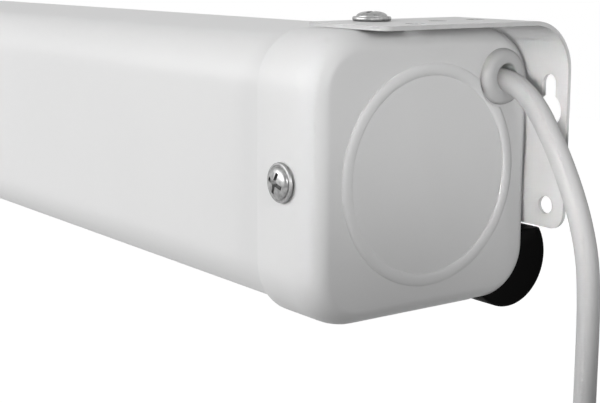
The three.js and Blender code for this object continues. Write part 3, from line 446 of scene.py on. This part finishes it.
def cap_grid():
    """Rings from the middle of the face outwards: flat, up and down the bead as half an ellipse,
    over the soft edge as a quarter of one, along the sleeve, round its rim and back inside."""
    ring = square_ring(0)
    angle = np.arctan2(ring[:, 1], ring[:, 0])
    circle = np.stack([np.cos(angle), np.sin(angle)], 1)
    rings = []
    bead_middle, bead_half = (BEAD_INNER + BEAD_OUTER) / 2, (BEAD_OUTER - BEAD_INNER) / 2
    to_bead = np.linspace(FACE_MIDDLE, BEAD_INNER - BEAD_SKIRT_IN, 12)
    over_bead = bead_middle - bead_half * np.cos(np.linspace(0, math.pi, 31))
    past_bead = BEAD_OUTER + BEAD_SKIRT_OUT
    for radius in [*to_bead, *over_bead, past_bead]:
        t = min(abs(radius - bead_middle) / bead_half, 1)
        rings.append((BEAD_HEIGHT * math.sqrt(1 - t * t), circle * radius))
    last, face_edge = circle * past_bead, square_ring(CAP_ROUND_INSET)
    for t in (0.25, 0.5, 0.75, 1.0):
        rings.append((0.0, last + (face_edge - last) * t))
    for a in np.linspace(math.pi / 2, 0, 21)[1:]:
        rings.append((-CAP_ROUND_DEPTH * (1 - math.sin(a)),
                      square_ring(CAP_ROUND_INSET * (1 - math.cos(a)))))
    rings.append((-(CAP_ROUND_DEPTH + CAP_SLEEVE) / 2, square_ring(0)))
    for a in np.linspace(0, math.pi / 2, 6):
        rings.append((-CAP_SLEEVE + RIM_ROUND * (1 - math.sin(a)),
                      square_ring(RIM_ROUND * (1 - math.cos(a)))))
    rings += [(-CAP_SLEEVE, square_ring(CAP_LIP)), (-CAP_SEAT, square_ring(CAP_LIP)),
              (-CAP_SEAT, square_ring(CAP_HOLLOW_INSET)),
              (-CAP_FACE, square_ring(CAP_HOLLOW_INSET))]
    grid = np.empty((len(rings), len(ring), 3))
    for row, (depth, outline) in enumerate(rings):
        grid[row, :, 0] = END_FACE_X + depth
        grid[row, :, 1:] = outline + CORNER[1:] + CAP / 2
    return grid


def bar_room():
    """The bar's own outline grown by its gap and open downwards."""
    radius, top = BAR_RADIUS + BAR_GAP, BAR_FLAT + BAR_GAP
    a = np.linspace(math.pi - math.asin(top / radius), math.pi, 16)
    arc = np.stack([BAR_Y + radius * np.cos(a), BAR_Z + radius * np.sin(a)], 1)
    below = BAR_Z - BAR_ROOM_BELOW
    front = [(BAR_Y - radius, below), (BAR_Y + radius, below), (BAR_Y + radius, BAR_Z + top)]
    return np.vstack([front, arc])


cap_plastic = coat("cap_plastic", (225, 225, 225), 0.46, shade=0.01,
                   patch=0.03, grain=0.0005, depth=0.000008)
for side in ("right", "left"):
    left = side == "left"
    cap = surface("cap_" + side, handed(cap_grid(), left), wrap=True, ends=(True, True))
    tidy_faces(cap)
    room_ends = sorted(at_end(END_FACE_X - depth, left) for depth in (CAP_FACE, BAR_ROOM_DEPTH))
    screw_x = at_end(END_FACE_X - CAP_SCREW_FROM_END, left)
    top_x = at_end(END_FACE_X - BRACKET_SCREW_FROM_END, left)
    tools = [
        block("room", bar_room(), 0, *room_ends),
        block("hole", round_outline(CORNER[2] + CAP / 2, screw_x, CAP_SCREW_HOLE),
              1, CORNER[1] - CUT_PAST, CORNER[1] + CAP + CUT_PAST),
        block("hole", round_outline(top_x, CORNER[1] + BRACKET_SCREW_FROM_FRONT,
                                    BRACKET_SCREW_HOLE),
              2, CORNER[2] + CAP / 2, CORNER[2] + CAP + CUT_PAST),
    ]
    if not left:
        tools += [
            block("hole", round_outline(CORD_Y, CORD_Z, GROMMET_NECK + GROMMET_SLACK),
                  0, END_FACE_X - 2 * CUT_PAST, END_FACE_X + CUT_PAST),
            block("seat", round_outline(CORD_Y, CORD_Z, GROMMET_SEAT, 64),
                  0, END_FACE_X, END_FACE_X + CUT_PAST),
        ]
    cut_away(cap, *tools)
    tidy_faces(cap, 35)
    dress(cap, cap_plastic)
    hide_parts("end_cap_" + side)
    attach(cap, "root")


# The case is one sheet of steel folded into a square tube with round corners and painted white.
# It is open along the rear bottom edge, where both edges are turned in.
SHELL_INSET, SHELL_WALL, SHELL_LIP = 0.002, 0.0012, 0.004


def shell_grid():
    """The open section as a line from lip to lip along its outer side and back along its inner
    one, its corners quarter circles, at nine places along the case."""
    low, high = SHELL_INSET, CAP - SHELL_INSET
    outer, inner = CAP_CORNER - SHELL_INSET, CAP_CORNER - SHELL_INSET - SHELL_WALL
    lip_y = BAR_Y - BAR_RADIUS - BAR_GAP - CORNER[1]
    lip_z = BAR_Z + BAR_FLAT + BAR_GAP - CORNER[2]
    corners = [(high - outer, high - outer, 0), (low + outer, high - outer, 1),
               (low + outer, low + outer, 2)]
    out_side, in_side = [], []
    for y, z, quarter in corners:
        a = (quarter + np.linspace(0, 1, 21)) * math.pi / 2
        out_side.append(np.stack([y + outer * np.cos(a), z + outer * np.sin(a)], 1))
        in_side.append(np.stack([y + inner * np.cos(a), z + inner * np.sin(a)], 1))
    bottom_lip = [(lip_y, low), (lip_y, low + SHELL_LIP),
                  (lip_y - SHELL_WALL, low + SHELL_LIP), (lip_y - SHELL_WALL, low + SHELL_WALL)]
    rear_lip = [(high - SHELL_WALL, lip_z + SHELL_WALL), (high - SHELL_LIP, lip_z + SHELL_WALL),
                (high - SHELL_LIP, lip_z)]
    outline = np.vstack([[(high, lip_z)], *out_side, bottom_lip, np.vstack(in_side)[::-1],
                         rear_lip])
    along = np.linspace(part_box("case_shell")[0][0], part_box("case_shell")[1][0], 9)
    grid = np.empty((len(along), len(outline), 3))
    grid[:, :, 0] = along[:, None]
    grid[:, :, 1:] = outline + CORNER[1:]
    return grid


case_paint = coat("case_paint", (225, 225, 225), 0.33, shade=0.008,
                  patch=0.05, grain=0.0012, depth=0.00001)
case = surface("case_sheet", shell_grid(), wrap=True, ends=(True, True))
tidy_faces(case, 35)
dress(case, case_paint)
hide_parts("case_shell")
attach(case, "root")


# Each wall bracket is a strip of 1.2 mm steel, bent once to a wide round and painted white. Its cut
# edges wear a darker grey that is painted shade. Its leg has two keyholes and two round holes for
# the wall, and its arm has holes for the screw into the case and for hanging from a ceiling.
BRACKET_WIDTH, BRACKET_METAL, BRACKET_BEND = 0.034, 0.0012, 0.015
FRONT_CORNER, FOOT_CORNER = 0.003, 0.005
KEYHOLE_ROUND, KEYHOLE_SLOT, KEYHOLE_RISE = 0.0049, 0.00255, 0.0082
LEG_HOLES_X, KEYHOLE_Z, LEG_HOLE_Z, PLAIN_HOLE = 0.0099, 0.0146, -0.0139, 0.0027
CEILING_HOLES_Y = (-0.0371, -0.0225)
THROUGH_LEG, THROUGH_ARM = (-0.01, 0.01), (0.03, 0.05)
EDGE_ROUND = 0.00018
bracket_low, bracket_high = (np.array(c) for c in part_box("wall_bracket_right"))


def bracket_grid():
    """The strip's outer face unrolled: along the arm, round the bend and down the leg, narrowed
    by a quarter circle at each corner. Gives the points and how far each row has turned."""
    top, wall = bracket_high[2], bracket_high[1]
    arm = wall - BRACKET_BEND - bracket_low[1]
    leg = top - BRACKET_BEND - bracket_low[2]
    bend = BRACKET_BEND * math.pi / 2
    near = FRONT_CORNER * (1 - np.cos(np.linspace(0, math.pi / 2, 9)))
    far = FOOT_CORNER * (1 - np.cos(np.linspace(0, math.pi / 2, 11)))
    total = arm + bend + leg
    s = np.concatenate([
        near, np.linspace(FRONT_CORNER, arm, 14)[1:-1], np.linspace(arm, arm + bend, 25),
        np.linspace(arm + bend, total - FOOT_CORNER, 14)[1:-1], total - far[::-1]])
    half = np.full_like(s, BRACKET_WIDTH / 2)
    for from_end, corner in ((s, FRONT_CORNER), (total - s, FOOT_CORNER)):
        close = from_end < corner
        rest = corner - from_end[close]
        half[close] -= corner - np.sqrt(np.maximum(corner ** 2 - rest ** 2, 0))
    turn = np.clip((s - arm) / BRACKET_BEND, 0, math.pi / 2)
    y = bracket_low[1] + np.minimum(s, arm) + BRACKET_BEND * np.sin(turn)
    z = top - BRACKET_BEND * (1 - np.cos(turn)) - np.maximum(s - arm - bend, 0)
    across = np.linspace(-1, 1, 9)
    middle = bracket_low[0] + BRACKET_WIDTH / 2
    grid = np.empty((len(s), len(across), 3))
    grid[:, :, 0] = middle + half[:, None] * across
    grid[:, :, 1], grid[:, :, 2] = y[:, None], z[:, None]
    return grid, turn


def thick_strip(name, left):
    """The strip's outer face and, one thickness inside it, its inner face, joined at the edge."""
    outer, turn = bracket_grid()
    inner = outer.copy()
    inner[:, :, 1] -= (BRACKET_METAL * np.sin(turn))[:, None]
    inner[:, :, 2] -= (BRACKET_METAL * np.cos(turn))[:, None]
    band = np.concatenate([outer, inner[:, ::-1]], axis=1)
    return surface(name, handed(band, left), wrap=True, ends=(True, True))


def keyhole(x):
    """A round hole with a narrower slot rising from it to a half-round end."""
    foot = math.asin(KEYHOLE_SLOT / KEYHOLE_ROUND)
    a = np.linspace(foot, 2 * math.pi - foot, 40)
    b = np.linspace(-math.pi / 2, math.pi / 2, 16)
    low = np.stack([KEYHOLE_Z + KEYHOLE_ROUND * np.cos(a), x + KEYHOLE_ROUND * np.sin(a)], 1)
    high = np.stack([KEYHOLE_Z + KEYHOLE_RISE + KEYHOLE_SLOT * np.cos(b),
                     x + KEYHOLE_SLOT * np.sin(b)], 1)
    return np.vstack([low, high])


def cut_faces(strip):
    """One for each face that stands across the sheet, where it was sheared or punched, which wears
    the painted shade, and nought for its white sides. The cut faces are those whose normal is far
    from the sheet's own at that turn."""
    faces = strip.data.polygons
    middle, normal = np.empty((len(faces), 3)), np.empty((len(faces), 3))
    faces.foreach_get("center", middle.reshape(-1))
    faces.foreach_get("normal", normal.reshape(-1))
    past_arm = np.maximum(middle[:, 1] - (bracket_high[1] - BRACKET_BEND), 0)
    above_leg = np.maximum(middle[:, 2] - (bracket_high[2] - BRACKET_BEND), 0)
    turn = np.arctan2(past_arm, above_leg)
    facing = np.abs(normal[:, 1] * np.sin(turn) + normal[:, 2] * np.cos(turn))
    return (facing < 0.5).astype(np.int32)


bracket_paint = coat("bracket_paint", (222, 222, 222), 0.42, shade=0.012,
                     patch=0.02, grain=0.0008, depth=0.000012)
# The cut edges' darker grey is painted shade: it stands in for the shade along the edges and hole
# walls.
bracket_edge_painted_shade = coat("bracket_edge_painted_shade", (186, 186, 186), 0.5, shade=0.05,
                    patch=0.004, grain=0.0004, depth=0.00001)
brackets = []
for side in ("right", "left"):
    left = side == "left"
    bracket = thick_strip("bracket_" + side, left)
    tidy_faces(bracket)
    tools = []
    for x in (at_end(-LEG_HOLES_X, left), at_end(LEG_HOLES_X, left)):
        tools.append(block("hole", keyhole(x), 1, *THROUGH_LEG))
        tools.append(block("hole", round_outline(LEG_HOLE_Z, x, PLAIN_HOLE, 40), 1, *THROUGH_LEG))
    screw_y, screw_off = CORNER[1] + BRACKET_SCREW_FROM_FRONT, END_FACE_X - BRACKET_SCREW_FROM_END
    arm_holes = [(at_end(x, left), screw_y, BRACKET_SCREW_HOLE) for x in (screw_off, -screw_off)]
    arm_holes += [(at_end(0.0, left), y, PLAIN_HOLE) for y in CEILING_HOLES_Y]
    tools += [block("hole", round_outline(*hole, 40), 2, *THROUGH_ARM) for hole in arm_holes]
    cut_away(bracket, *tools)
    tidy_faces(bracket, 30)
    edge = bracket.modifiers.new("edge", "BEVEL")
    edge.width, edge.segments, edge.harden_normals = EDGE_ROUND, 2, True
    edge.limit_method, edge.angle_limit = "ANGLE", math.radians(40)
    dress(bracket, bracket_paint, bracket_edge_painted_shade)
    bracket.data.polygons.foreach_set("material_index", cut_faces(bracket))
    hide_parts("wall_bracket_" + side)
    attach(bracket, "root")
    brackets.append(bracket)


# The screws that show are zinc-plated steel: a pan head on a thin flange, with a cross recess.
# The bracket screws stand on the brackets, the cap screws on the front and rear of the caps.
SCREW_FLANGE, SCREW_FLANGE_THICK, SCREW_HEAD, SCREW_TOP = 0.0055, 0.0012, 0.0044, 0.00265
SCREW_PROUD = 0.0001
RECESS_LONG, RECESS_WIDE, RECESS_DEEP, RECESS_SHALLOW = 0.0030, 0.00058, 0.0016, 0.0008


def screw_profile(shank, length):
    """Half the outline of the screw: from the tip up the shank, round the flange's rim, through a
    shallow groove and over the low dome, whose radius is a cosine to a power."""
    thick, head = SCREW_FLANGE_THICK, SCREW_HEAD
    tip_share, tip_long, rim_share, dome_power = 0.8, 0.0006, 0.6, 0.8
    groove_out, groove_floor, groove_in, groove_deep = 0.0004, 0.00025, 0.00005, 0.00014
    tip = [(0, -length), (shank * tip_share, -length), (shank, -length + tip_long), (shank, 0)]
    rim = np.linspace(-1, 1, 9) * math.pi / 2
    edge = np.stack([SCREW_FLANGE - thick / 2 * (1 - np.cos(rim)) * rim_share,
                     thick / 2 * (1 + np.sin(rim))], 1)
    groove = [(head + groove_out, thick), (head + groove_floor, thick - groove_deep),
              (head + groove_in, thick - groove_deep)]
    a = np.linspace(0.06, 1, 14) * math.pi / 2
    dome = np.stack([head * np.cos(a) ** dome_power, thick + (SCREW_TOP - thick) * np.sin(a)], 1)
    dome[-1, 0] = 0
    return np.vstack([tip, edge, groove, dome])


def recess_arm(place, axis, turn):
    """One arm of the cross: a wedge that is deep in the middle and tapers to its ends, drawn
    along X, turned, and stood on the screw's axis. It reaches a little over the head."""
    deep_half, over = RECESS_LONG * 0.45, 0.001
    bottom = [RECESS_SHALLOW, RECESS_DEEP, RECESS_DEEP, RECESS_SHALLOW]
    grid = np.zeros((4, 4, 3))
    grid[:, :, 0] = np.array([-RECESS_LONG, -deep_half, deep_half, RECESS_LONG])[:, None]
    grid[:, :, 1] = [-RECESS_WIDE, RECESS_WIDE, RECESS_WIDE, -RECESS_WIDE]
    grid[:, 2:, 2] = SCREW_TOP + over
    grid[:, :2, 2] = SCREW_TOP - np.array(bottom)[:, None]
    c, s = math.cos(turn), math.sin(turn)
    grid = grid @ np.array([[c, s, 0], [-s, c, 0], [0, 0, 1]])
    return surface("recess", stood(grid, place, axis), wrap=True, ends=(True, True))


def screw_table():
    """Each screw's node, place, axis, shank radius, length and how far its cross is turned."""
    rows = []
    for side in ("right", "left"):
        top_x = at_end(END_FACE_X - BRACKET_SCREW_FROM_END, side == "left")
        cap_x = at_end(END_FACE_X - CAP_SCREW_FROM_END, side == "left")
        top_y, top_z = CORNER[1] + BRACKET_SCREW_FROM_FRONT, bracket_high[2] + SCREW_PROUD
        front_y, rear_y = CORNER[1] - SCREW_PROUD, CORNER[1] + CAP + SCREW_PROUD
        cap_z = CORNER[2] + CAP / 2
        rows += [
            ("bracket_screw_" + side, (top_x, top_y, top_z), 3, 0.0025, 0.0125, 0.5),
            ("cap_screw_front_" + side, (cap_x, front_y, cap_z), -2, 0.002, 0.009, 0.35),
            ("cap_screw_rear_" + side, (cap_x, rear_y, cap_z), 2, 0.002, 0.009, 0.9),
        ]
    return rows


# The zinc's dark colour and its strong mottling in small patches are painted reflection: they stand
# in for darker surroundings mirrored in the plating.
zinc_painted_reflection = coat("zinc_painted_reflection", (150, 150, 150), 0.34, metallic=1.0, shade=0.3, uneven=0.3,
                  patch=0.0012, grain=0.0003, depth=0.00002)
for node, place, axis, shank, length, turn in screw_table():
    screw = turned(node.replace("screw", "screw_turned"), screw_profile(shank, length), place, axis)
    tidy_faces(screw)
    cut_away(screw, recess_arm(place, axis, turn), recess_arm(place, axis, turn + math.pi / 2))
    tidy_faces(screw, 32)
    dress(screw, zinc_painted_reflection)
    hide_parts(node)
    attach(screw, "root")


# The grommet is a white moulding: a domed collar on the cap's face, and inside the cap a neck and
# a tail that tapers round the lead. Its mouth is a narrow lip with a wider room behind it.
GROMMET_SHIFT_Y, GROMMET_SHIFT_Z = -0.0001, 0.0002
GROMMET_PLACE = (END_FACE_X, CORD_Y + GROMMET_SHIFT_Y, CORD_Z + GROMMET_SHIFT_Z)


def grommet_profile():
    """From the tail's end along the neck, under the collar, up its flank as a quarter of an
    ellipse to the flat crown, over the soft lip, and back through the mouth, room and bore."""
    bore, mouth, room, tail, collar = 0.0034, 0.0038, 0.0049, 0.0046, 0.0080
    under, foot, height, crown, lip = 0.0001, 0.0005, 0.0031, 0.0024, 0.0004
    mouth_end, room_start, room_end, bore_start, length = 0.0019, 0.0009, -0.007, -0.0095, 0.020
    a = np.linspace(0, math.pi / 2, 14)
    flank = np.stack([collar - crown * (1 - np.cos(a)), foot + (height - foot) * np.sin(a)], 1)
    b = np.linspace(0, math.pi / 2, 6)
    inside = np.stack([mouth + lip * (1 - np.sin(b)), height - lip * (1 - np.cos(b))], 1)
    return np.vstack([
        [(bore, -length), (tail, -length), (GROMMET_NECK, -CAP_FACE), (GROMMET_NECK, under),
         (collar - GROMMET_SLACK, under)],
        flank, inside,
        [(mouth, mouth_end), (room, room_start), (room, room_end), (bore, bore_start),
         (bore, -length)]])


grommet_plastic = coat("grommet_plastic", (190, 190, 190), 0.45, shade=0.01,
                       patch=0.01, grain=0.0005, depth=0.000008)
grommet = turned("grommet_moulding", grommet_profile(), GROMMET_PLACE, 1, 72)
tidy_faces(grommet, 40)
dress(grommet, grommet_plastic)
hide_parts("cord_grommet")
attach(grommet, "root")


# The bottom bar is a drawn D section painted white, closed at both ends by black mouldings.
# A channel under its flat top holds the fabric's edge, and the hollow below holds a weight.
BAR_EDGE = 0.0008
CHANNEL_COVER, CHANNEL_RADIUS, SLOT_HALF = 0.0016, 0.0023, 0.0008
HOLLOW_DROP, HOLLOW_RADIUS = 0.0052, 0.0062
BAR_END_ROUND, BAR_END_GAP, BAR_END_DISH, BAR_END_DISH_SIZE = 0.0009, 0.0003, 0.0004, 0.86
bar_low, bar_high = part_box("bottom_bar")


def bar_section():
    """A circle cut by a flat top, with the two edges where they meet rounded off."""
    inner, height = BAR_RADIUS - BAR_EDGE, BAR_FLAT - BAR_EDGE
    turn = math.asin(height / inner)
    across = inner * math.cos(turn)
    a = np.linspace(math.pi - turn, 2 * math.pi + turn, 60)
    arc = np.stack([BAR_RADIUS * np.cos(a), BAR_RADIUS * np.sin(a)], 1)
    b = np.linspace(turn, math.pi / 2, 6)[1:]
    right = np.stack([across + BAR_EDGE * np.cos(b), height + BAR_EDGE * np.sin(b)], 1)
    left = right[::-1] * [-1, 1]
    return np.vstack([arc, right, left[:-1]])


def bar_end_grid(left):
    """The bar's section along X: a shallow dish, drawn in by a quarter circle at the outer end,
    and square at the inner end."""
    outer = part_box("bar_cap_right")[1][0]
    section = bar_section()
    rows = [(outer - BAR_END_DISH, BAR_END_DISH_SIZE)]
    for a in np.linspace(math.pi / 2, 0, 8):
        rows.append((outer - BAR_END_ROUND * (1 - math.sin(a)),
                     1 - BAR_END_ROUND * (1 - math.cos(a)) / BAR_RADIUS))
    rows.append((bar_high[0] + BAR_END_GAP, 1.0))
    grid = np.empty((len(rows), len(section), 3))
    for row, (x, size) in enumerate(rows):
        grid[row, :, 0] = x
        grid[row, :, 1:] = section * size + [BAR_Y, BAR_Z]
    return handed(grid, left)


bar_paint = coat("bar_paint", (228, 228, 228), 0.35, shade=0.01,
                 patch=0.04, grain=0.001, depth=0.000008)
bar_plastic = coat("bar_plastic", (4, 4, 4), 0.6, specular=0.03, shade=0.2,
                   patch=0.008, grain=0.0004, depth=0.00001)
bar = block("bar_drawn", bar_section() + [BAR_Y, BAR_Z], 0, bar_low[0], bar_high[0])
tidy_faces(bar)
channel_y = (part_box("fabric_drop")[0][1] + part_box("fabric_drop")[1][1]) / 2
channel_z = BAR_Z + BAR_FLAT - CHANNEL_COVER - CHANNEL_RADIUS
cut_away(bar, *(
    block(name, outline, 0, bar_low[0] - CUT_PAST, bar_high[0] + CUT_PAST) for name, outline in (
        ("slot", oblong(channel_y, SLOT_HALF, channel_z, channel_z + 2 * CUT_PAST)),
        ("channel", round_outline(channel_y, channel_z, CHANNEL_RADIUS, 24)),
        ("hollow", round_outline(BAR_Y, BAR_Z - HOLLOW_DROP, HOLLOW_RADIUS, 40)))))
tidy_faces(bar, 35)
dress(bar, bar_paint)
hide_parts("bottom_bar")
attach(bar, "bottom_bar")
for side in ("right", "left"):
    end = surface("bar_end_" + side, bar_end_grid(side == "left"), wrap=True, ends=(True, True))
    tidy_faces(end, 40)
    dress(end, bar_plastic)
    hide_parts("bar_cap_" + side)
    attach(end, "bottom_bar")


# Everything inside keeps its solid and gets its finish: cast plates, the motor, the roller,
# the receiver box and the leads between them.
cast_plate = coat("cast_plate", (168, 169, 171), 0.5, metallic=1.0, shade=0.08,
                  patch=0.006, grain=0.0006, depth=0.00003)
tube_steel = coat("tube_steel", (176, 177, 178), 0.32, metallic=1.0, shade=0.07,
                  patch=0.01, grain=0.0008, depth=0.00001)
motor_paint = coat("motor_paint", (92, 94, 97), 0.4, shade=0.05,
                   patch=0.02, grain=0.0006, depth=0.00001)
inner_black = coat("inner_black", (26, 26, 28), 0.45, shade=0.12,
                   patch=0.01, grain=0.0005, depth=0.00001)
wheel_plastic = coat("wheel_plastic", (122, 124, 128), 0.48, shade=0.04,
                     patch=0.01, grain=0.0005, depth=0.00001)
bush_plastic = coat("bush_plastic", (224, 224, 220), 0.45, shade=0.02,
                    patch=0.01, grain=0.0005, depth=0.00001)
rod_steel = coat("rod_steel", (120, 121, 123), 0.45, metallic=1.0, shade=0.12,
                 patch=0.01, grain=0.0006, depth=0.00002)
cloth_back = coat("cloth_back", (14, 14, 15), 0.9, shade=0.05,
                  patch=0.02, grain=0.0006, depth=0.00003)
finishes = {
    "cast_plate": cast_plate, "zinc_steel": tube_steel, "motor_steel": motor_paint,
    "black_plastic": inner_black, "grey_plastic": wheel_plastic, "white_plastic": bush_plastic,
    "brass_trim": pin_brass, "weight_steel": rod_steel, "screen_fabric": cloth_back,
    "cord_sheath": cord_sheath, "case_paint": case_paint, "bracket_paint": bracket_paint,
    "cap_plastic": cap_plastic, "bar_aluminium": bar_paint,
}
slot_of = {row["node"]: row["material_slot"] for row in frame["record"]["subparts"]}
for name, node in nodes.items():
    dress(node, finishes[slot_of[name]])


# The screen is coated fabric: matt white on the picture, with black borders and a black back. It
# hangs from the roll and its foot is held in the bar's channel.
CLOTH_DROP = 0.9
PICTURE_SIDE, PICTURE_FOOT, PICTURE_HEIGHT = 0.030, 0.030, 0.747
CLOTH_ROWS, CLOTH_COLUMNS = 80, 60
BORDER_BLACK = (14, 14, 15)
cloth_low, cloth_high = (np.array(c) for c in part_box("fabric_drop"))
cloth_width, cloth_height = (float((cloth_high - cloth_low)[axis]) for axis in (0, 2))
full_height = cloth_height + CLOTH_DROP


def reckon(tree, operation, first, second=None):
    """What comes out of a Math node that works on sockets or plain numbers."""
    node = tree.nodes.new("ShaderNodeMath")
    node.operation = operation
    for socket, value in zip(node.inputs, (first, second)):
        if isinstance(value, bpy.types.NodeSocket):
            tree.links.new(value, socket)
        elif value is not None:
            socket.default_value = value
    return node.outputs[0]


def cloth_material():
    """White where the strip's own (across, up) lies in the picture's oblong, no further from its
    middle than half its size either way, and black elsewhere, with a fine weave over all."""
    material = coat("screen_cloth", (236, 236, 236), 0.9, shade=0.006,
                    patch=0.02, grain=0.0006, depth=0.00003)
    tree = material.node_tree
    shader = tree.nodes["Principled BSDF"]
    join = tree.links.new
    place = tree.nodes.new("ShaderNodeUVMap")
    place.uv_map = "cloth_place"
    parts = tree.nodes.new("ShaderNodeSeparateXYZ")
    join(place.outputs["UV"], parts.inputs[0])
    within = []
    for axis, low, high in (("X", PICTURE_SIDE, cloth_width - PICTURE_SIDE),
                            ("Y", PICTURE_FOOT, PICTURE_FOOT + PICTURE_HEIGHT)):
        off = reckon(tree, "SUBTRACT", parts.outputs[axis], (low + high) / 2)
        within.append(reckon(tree, "LESS_THAN", reckon(tree, "ABSOLUTE", off), (high - low) / 2))
    choose = tree.nodes.new("ShaderNodeMix")
    choose.data_type = "RGBA"
    factor, black, white = choose.inputs["Factor"], choose.inputs[6], choose.inputs[7]
    join(reckon(tree, "MULTIPLY", *within), factor)
    black.default_value = linear(*BORDER_BLACK)
    join(shader.inputs["Base Color"].links[0].from_socket, white)
    join(choose.outputs[2], shader.inputs["Base Color"])
    for noise in [n for n in tree.nodes if n.bl_idname == "ShaderNodeTexNoise"]:
        join(place.outputs["UV"], noise.inputs["Vector"])
    return material


def cloth_grid():
    """Rows from the roll down to the bar, each once across the front and once back behind it."""
    across = np.linspace(cloth_low[0], cloth_high[0], CLOTH_COLUMNS)
    grid = np.empty((CLOTH_ROWS, CLOTH_COLUMNS * 2, 3))
    grid[:, :, 0] = np.concatenate([across, across[::-1]])
    grid[:, :, 1] = np.repeat([cloth_low[1], cloth_high[1]], CLOTH_COLUMNS)
    grid[:, :, 2] = np.linspace(cloth_high[2], cloth_low[2], CLOTH_ROWS)[:, None]
    return grid


def lay_out(cloth):
    """The strip's own place as its UV map: metres across, and metres up as when it is full out, its
    rows spread by a smooth step down its height. The back lies far past the picture."""
    mesh = cloth.data
    corners = np.empty(len(mesh.loops), int)
    mesh.loops.foreach_get("vertex_index", corners)
    points = np.empty((len(mesh.vertices), 3))
    mesh.vertices.foreach_get("co", points.reshape(-1))
    down = (cloth_high[2] - points[:, 2]) / cloth_height
    stretch = CLOTH_DROP * down ** 2 * (3 - 2 * down)
    up = full_height - down * cloth_height - stretch
    behind = points[:, 1] > (cloth_low[1] + cloth_high[1]) / 2
    place = np.stack([points[:, 0] - cloth_low[0], up + np.where(behind, 2 * full_height, 0)], 1)
    mesh.uv_layers.new(name="cloth_place").data.foreach_set("uv", place[corners].ravel())


cloth = surface("screen_cloth", cloth_grid(), wrap=True, ends=(True, True))
tidy_faces(cloth, 40)
lay_out(cloth)
dress(cloth, cloth_material())
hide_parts("fabric_drop")
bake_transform(cloth)


# A pale floor lies far below, under an even sky. Past the object the camera, mirrors and glass see
# plain white, and everything else gets the sky's own light.
FLOOR_Z, FLOOR_HALF, FLOOR_GREY, FLOOR_GLOW = -1.25, 8.0, 0.2, 0.94
SKY_STRENGTH = 0.25


def seen_directly(tree):
    """One for what the camera, a mirror or glass sees, nought for the light on other surfaces."""
    path = tree.nodes.new("ShaderNodeLightPath")
    ray = path.outputs["Is Camera Ray"]
    for other in ("Is Glossy Ray", "Is Transmission Ray"):
        ray = reckon(tree, "MAXIMUM", ray, path.outputs[other])
    return ray


floor_x, floor_y = np.meshgrid([-FLOOR_HALF, FLOOR_HALF], [-FLOOR_HALF, FLOOR_HALF])
floor = surface("pale_floor", np.stack([floor_x, floor_y, np.full_like(floor_x, FLOOR_Z)], -1))
floor_paint = bpy.data.materials.new("pale_floor")
floor_paint.use_nodes = True
floor_tree = floor_paint.node_tree
floor_shader = floor_tree.nodes["Principled BSDF"]
floor_shader.inputs["Base Color"].default_value = (FLOOR_GREY, FLOOR_GREY, FLOOR_GREY, 1)
floor_shader.inputs["Roughness"].default_value = 0.9
floor_shader.inputs["Emission Color"].default_value = (1, 1, 1, 1)
floor_glow = reckon(floor_tree, "MULTIPLY", seen_directly(floor_tree), FLOOR_GLOW)
floor_tree.links.new(floor_glow, floor_shader.inputs["Emission Strength"])
dress(floor, floor_paint)

world = bpy.data.worlds.new("even_sky")
bpy.context.scene.world = world
world.use_nodes = True
sky = world.node_tree.nodes["Background"]
sky.inputs["Color"].default_value = (1, 1, 1, 1)
strength = world.node_tree.nodes.new("ShaderNodeMapRange")
strength.inputs["To Min"].default_value = SKY_STRENGTH
strength.inputs["To Max"].default_value = 1.0
world.node_tree.links.new(seen_directly(world.node_tree), strength.inputs["Value"])
world.node_tree.links.new(strength.outputs["Result"], sky.inputs["Strength"])


# A large soft light stands at the front left and a small one shines on the end face. From beside
# the camera one more fills in the lead, and a weaker one lights nothing but the brackets.
def soft_light(name, place, target, size, power, spread=180, only=()):
    """A flat lamp at a place, its back to the line that runs to the target. Its beam may be
    narrowed to a spread in degrees, and it may light only some pieces."""
    lamp = bpy.data.lights.new(name, "AREA")
    lamp.shape, lamp.energy, lamp.spread = "RECTANGLE", power, math.radians(spread)
    lamp.size, lamp.size_y = size
    made = add_object(name, lamp)
    away = np.array(place, float) - np.array(target, float)
    away /= np.linalg.norm(away)
    level = np.cross((0, 0, 1), away)
    level /= np.linalg.norm(level)
    set_up(made, level, np.cross(away, level), away, place)
    made.visible_camera = False
    if only:
        lit = bpy.data.collections.new(name + "_pieces")
        for piece in only:
            lit.objects.link(piece)
        made.light_linking.receiver_collection = lit


soft_light("front_light", (-0.85, -2.15, 0.62), (-0.1, 0, 0), (2.6, 1.1), 50)
soft_light("end_light", (0.43, -0.16, 0.16), (0.0127, -0.098, 0.022), (0.08, 0.08), 0.0145, 20)
soft_light("lead_light", (0.383, -0.43, 0.06), (0.05, 0.012, 0.018), (0.03, 0.03), 0.033, 20)
soft_light("bracket_light", (0.383, -0.43, 0.046), (0.024, 0, 0), (0.03, 0.03), 0.02, 20, brackets)

bpy.context.scene.view_settings.view_transform = "Standard"
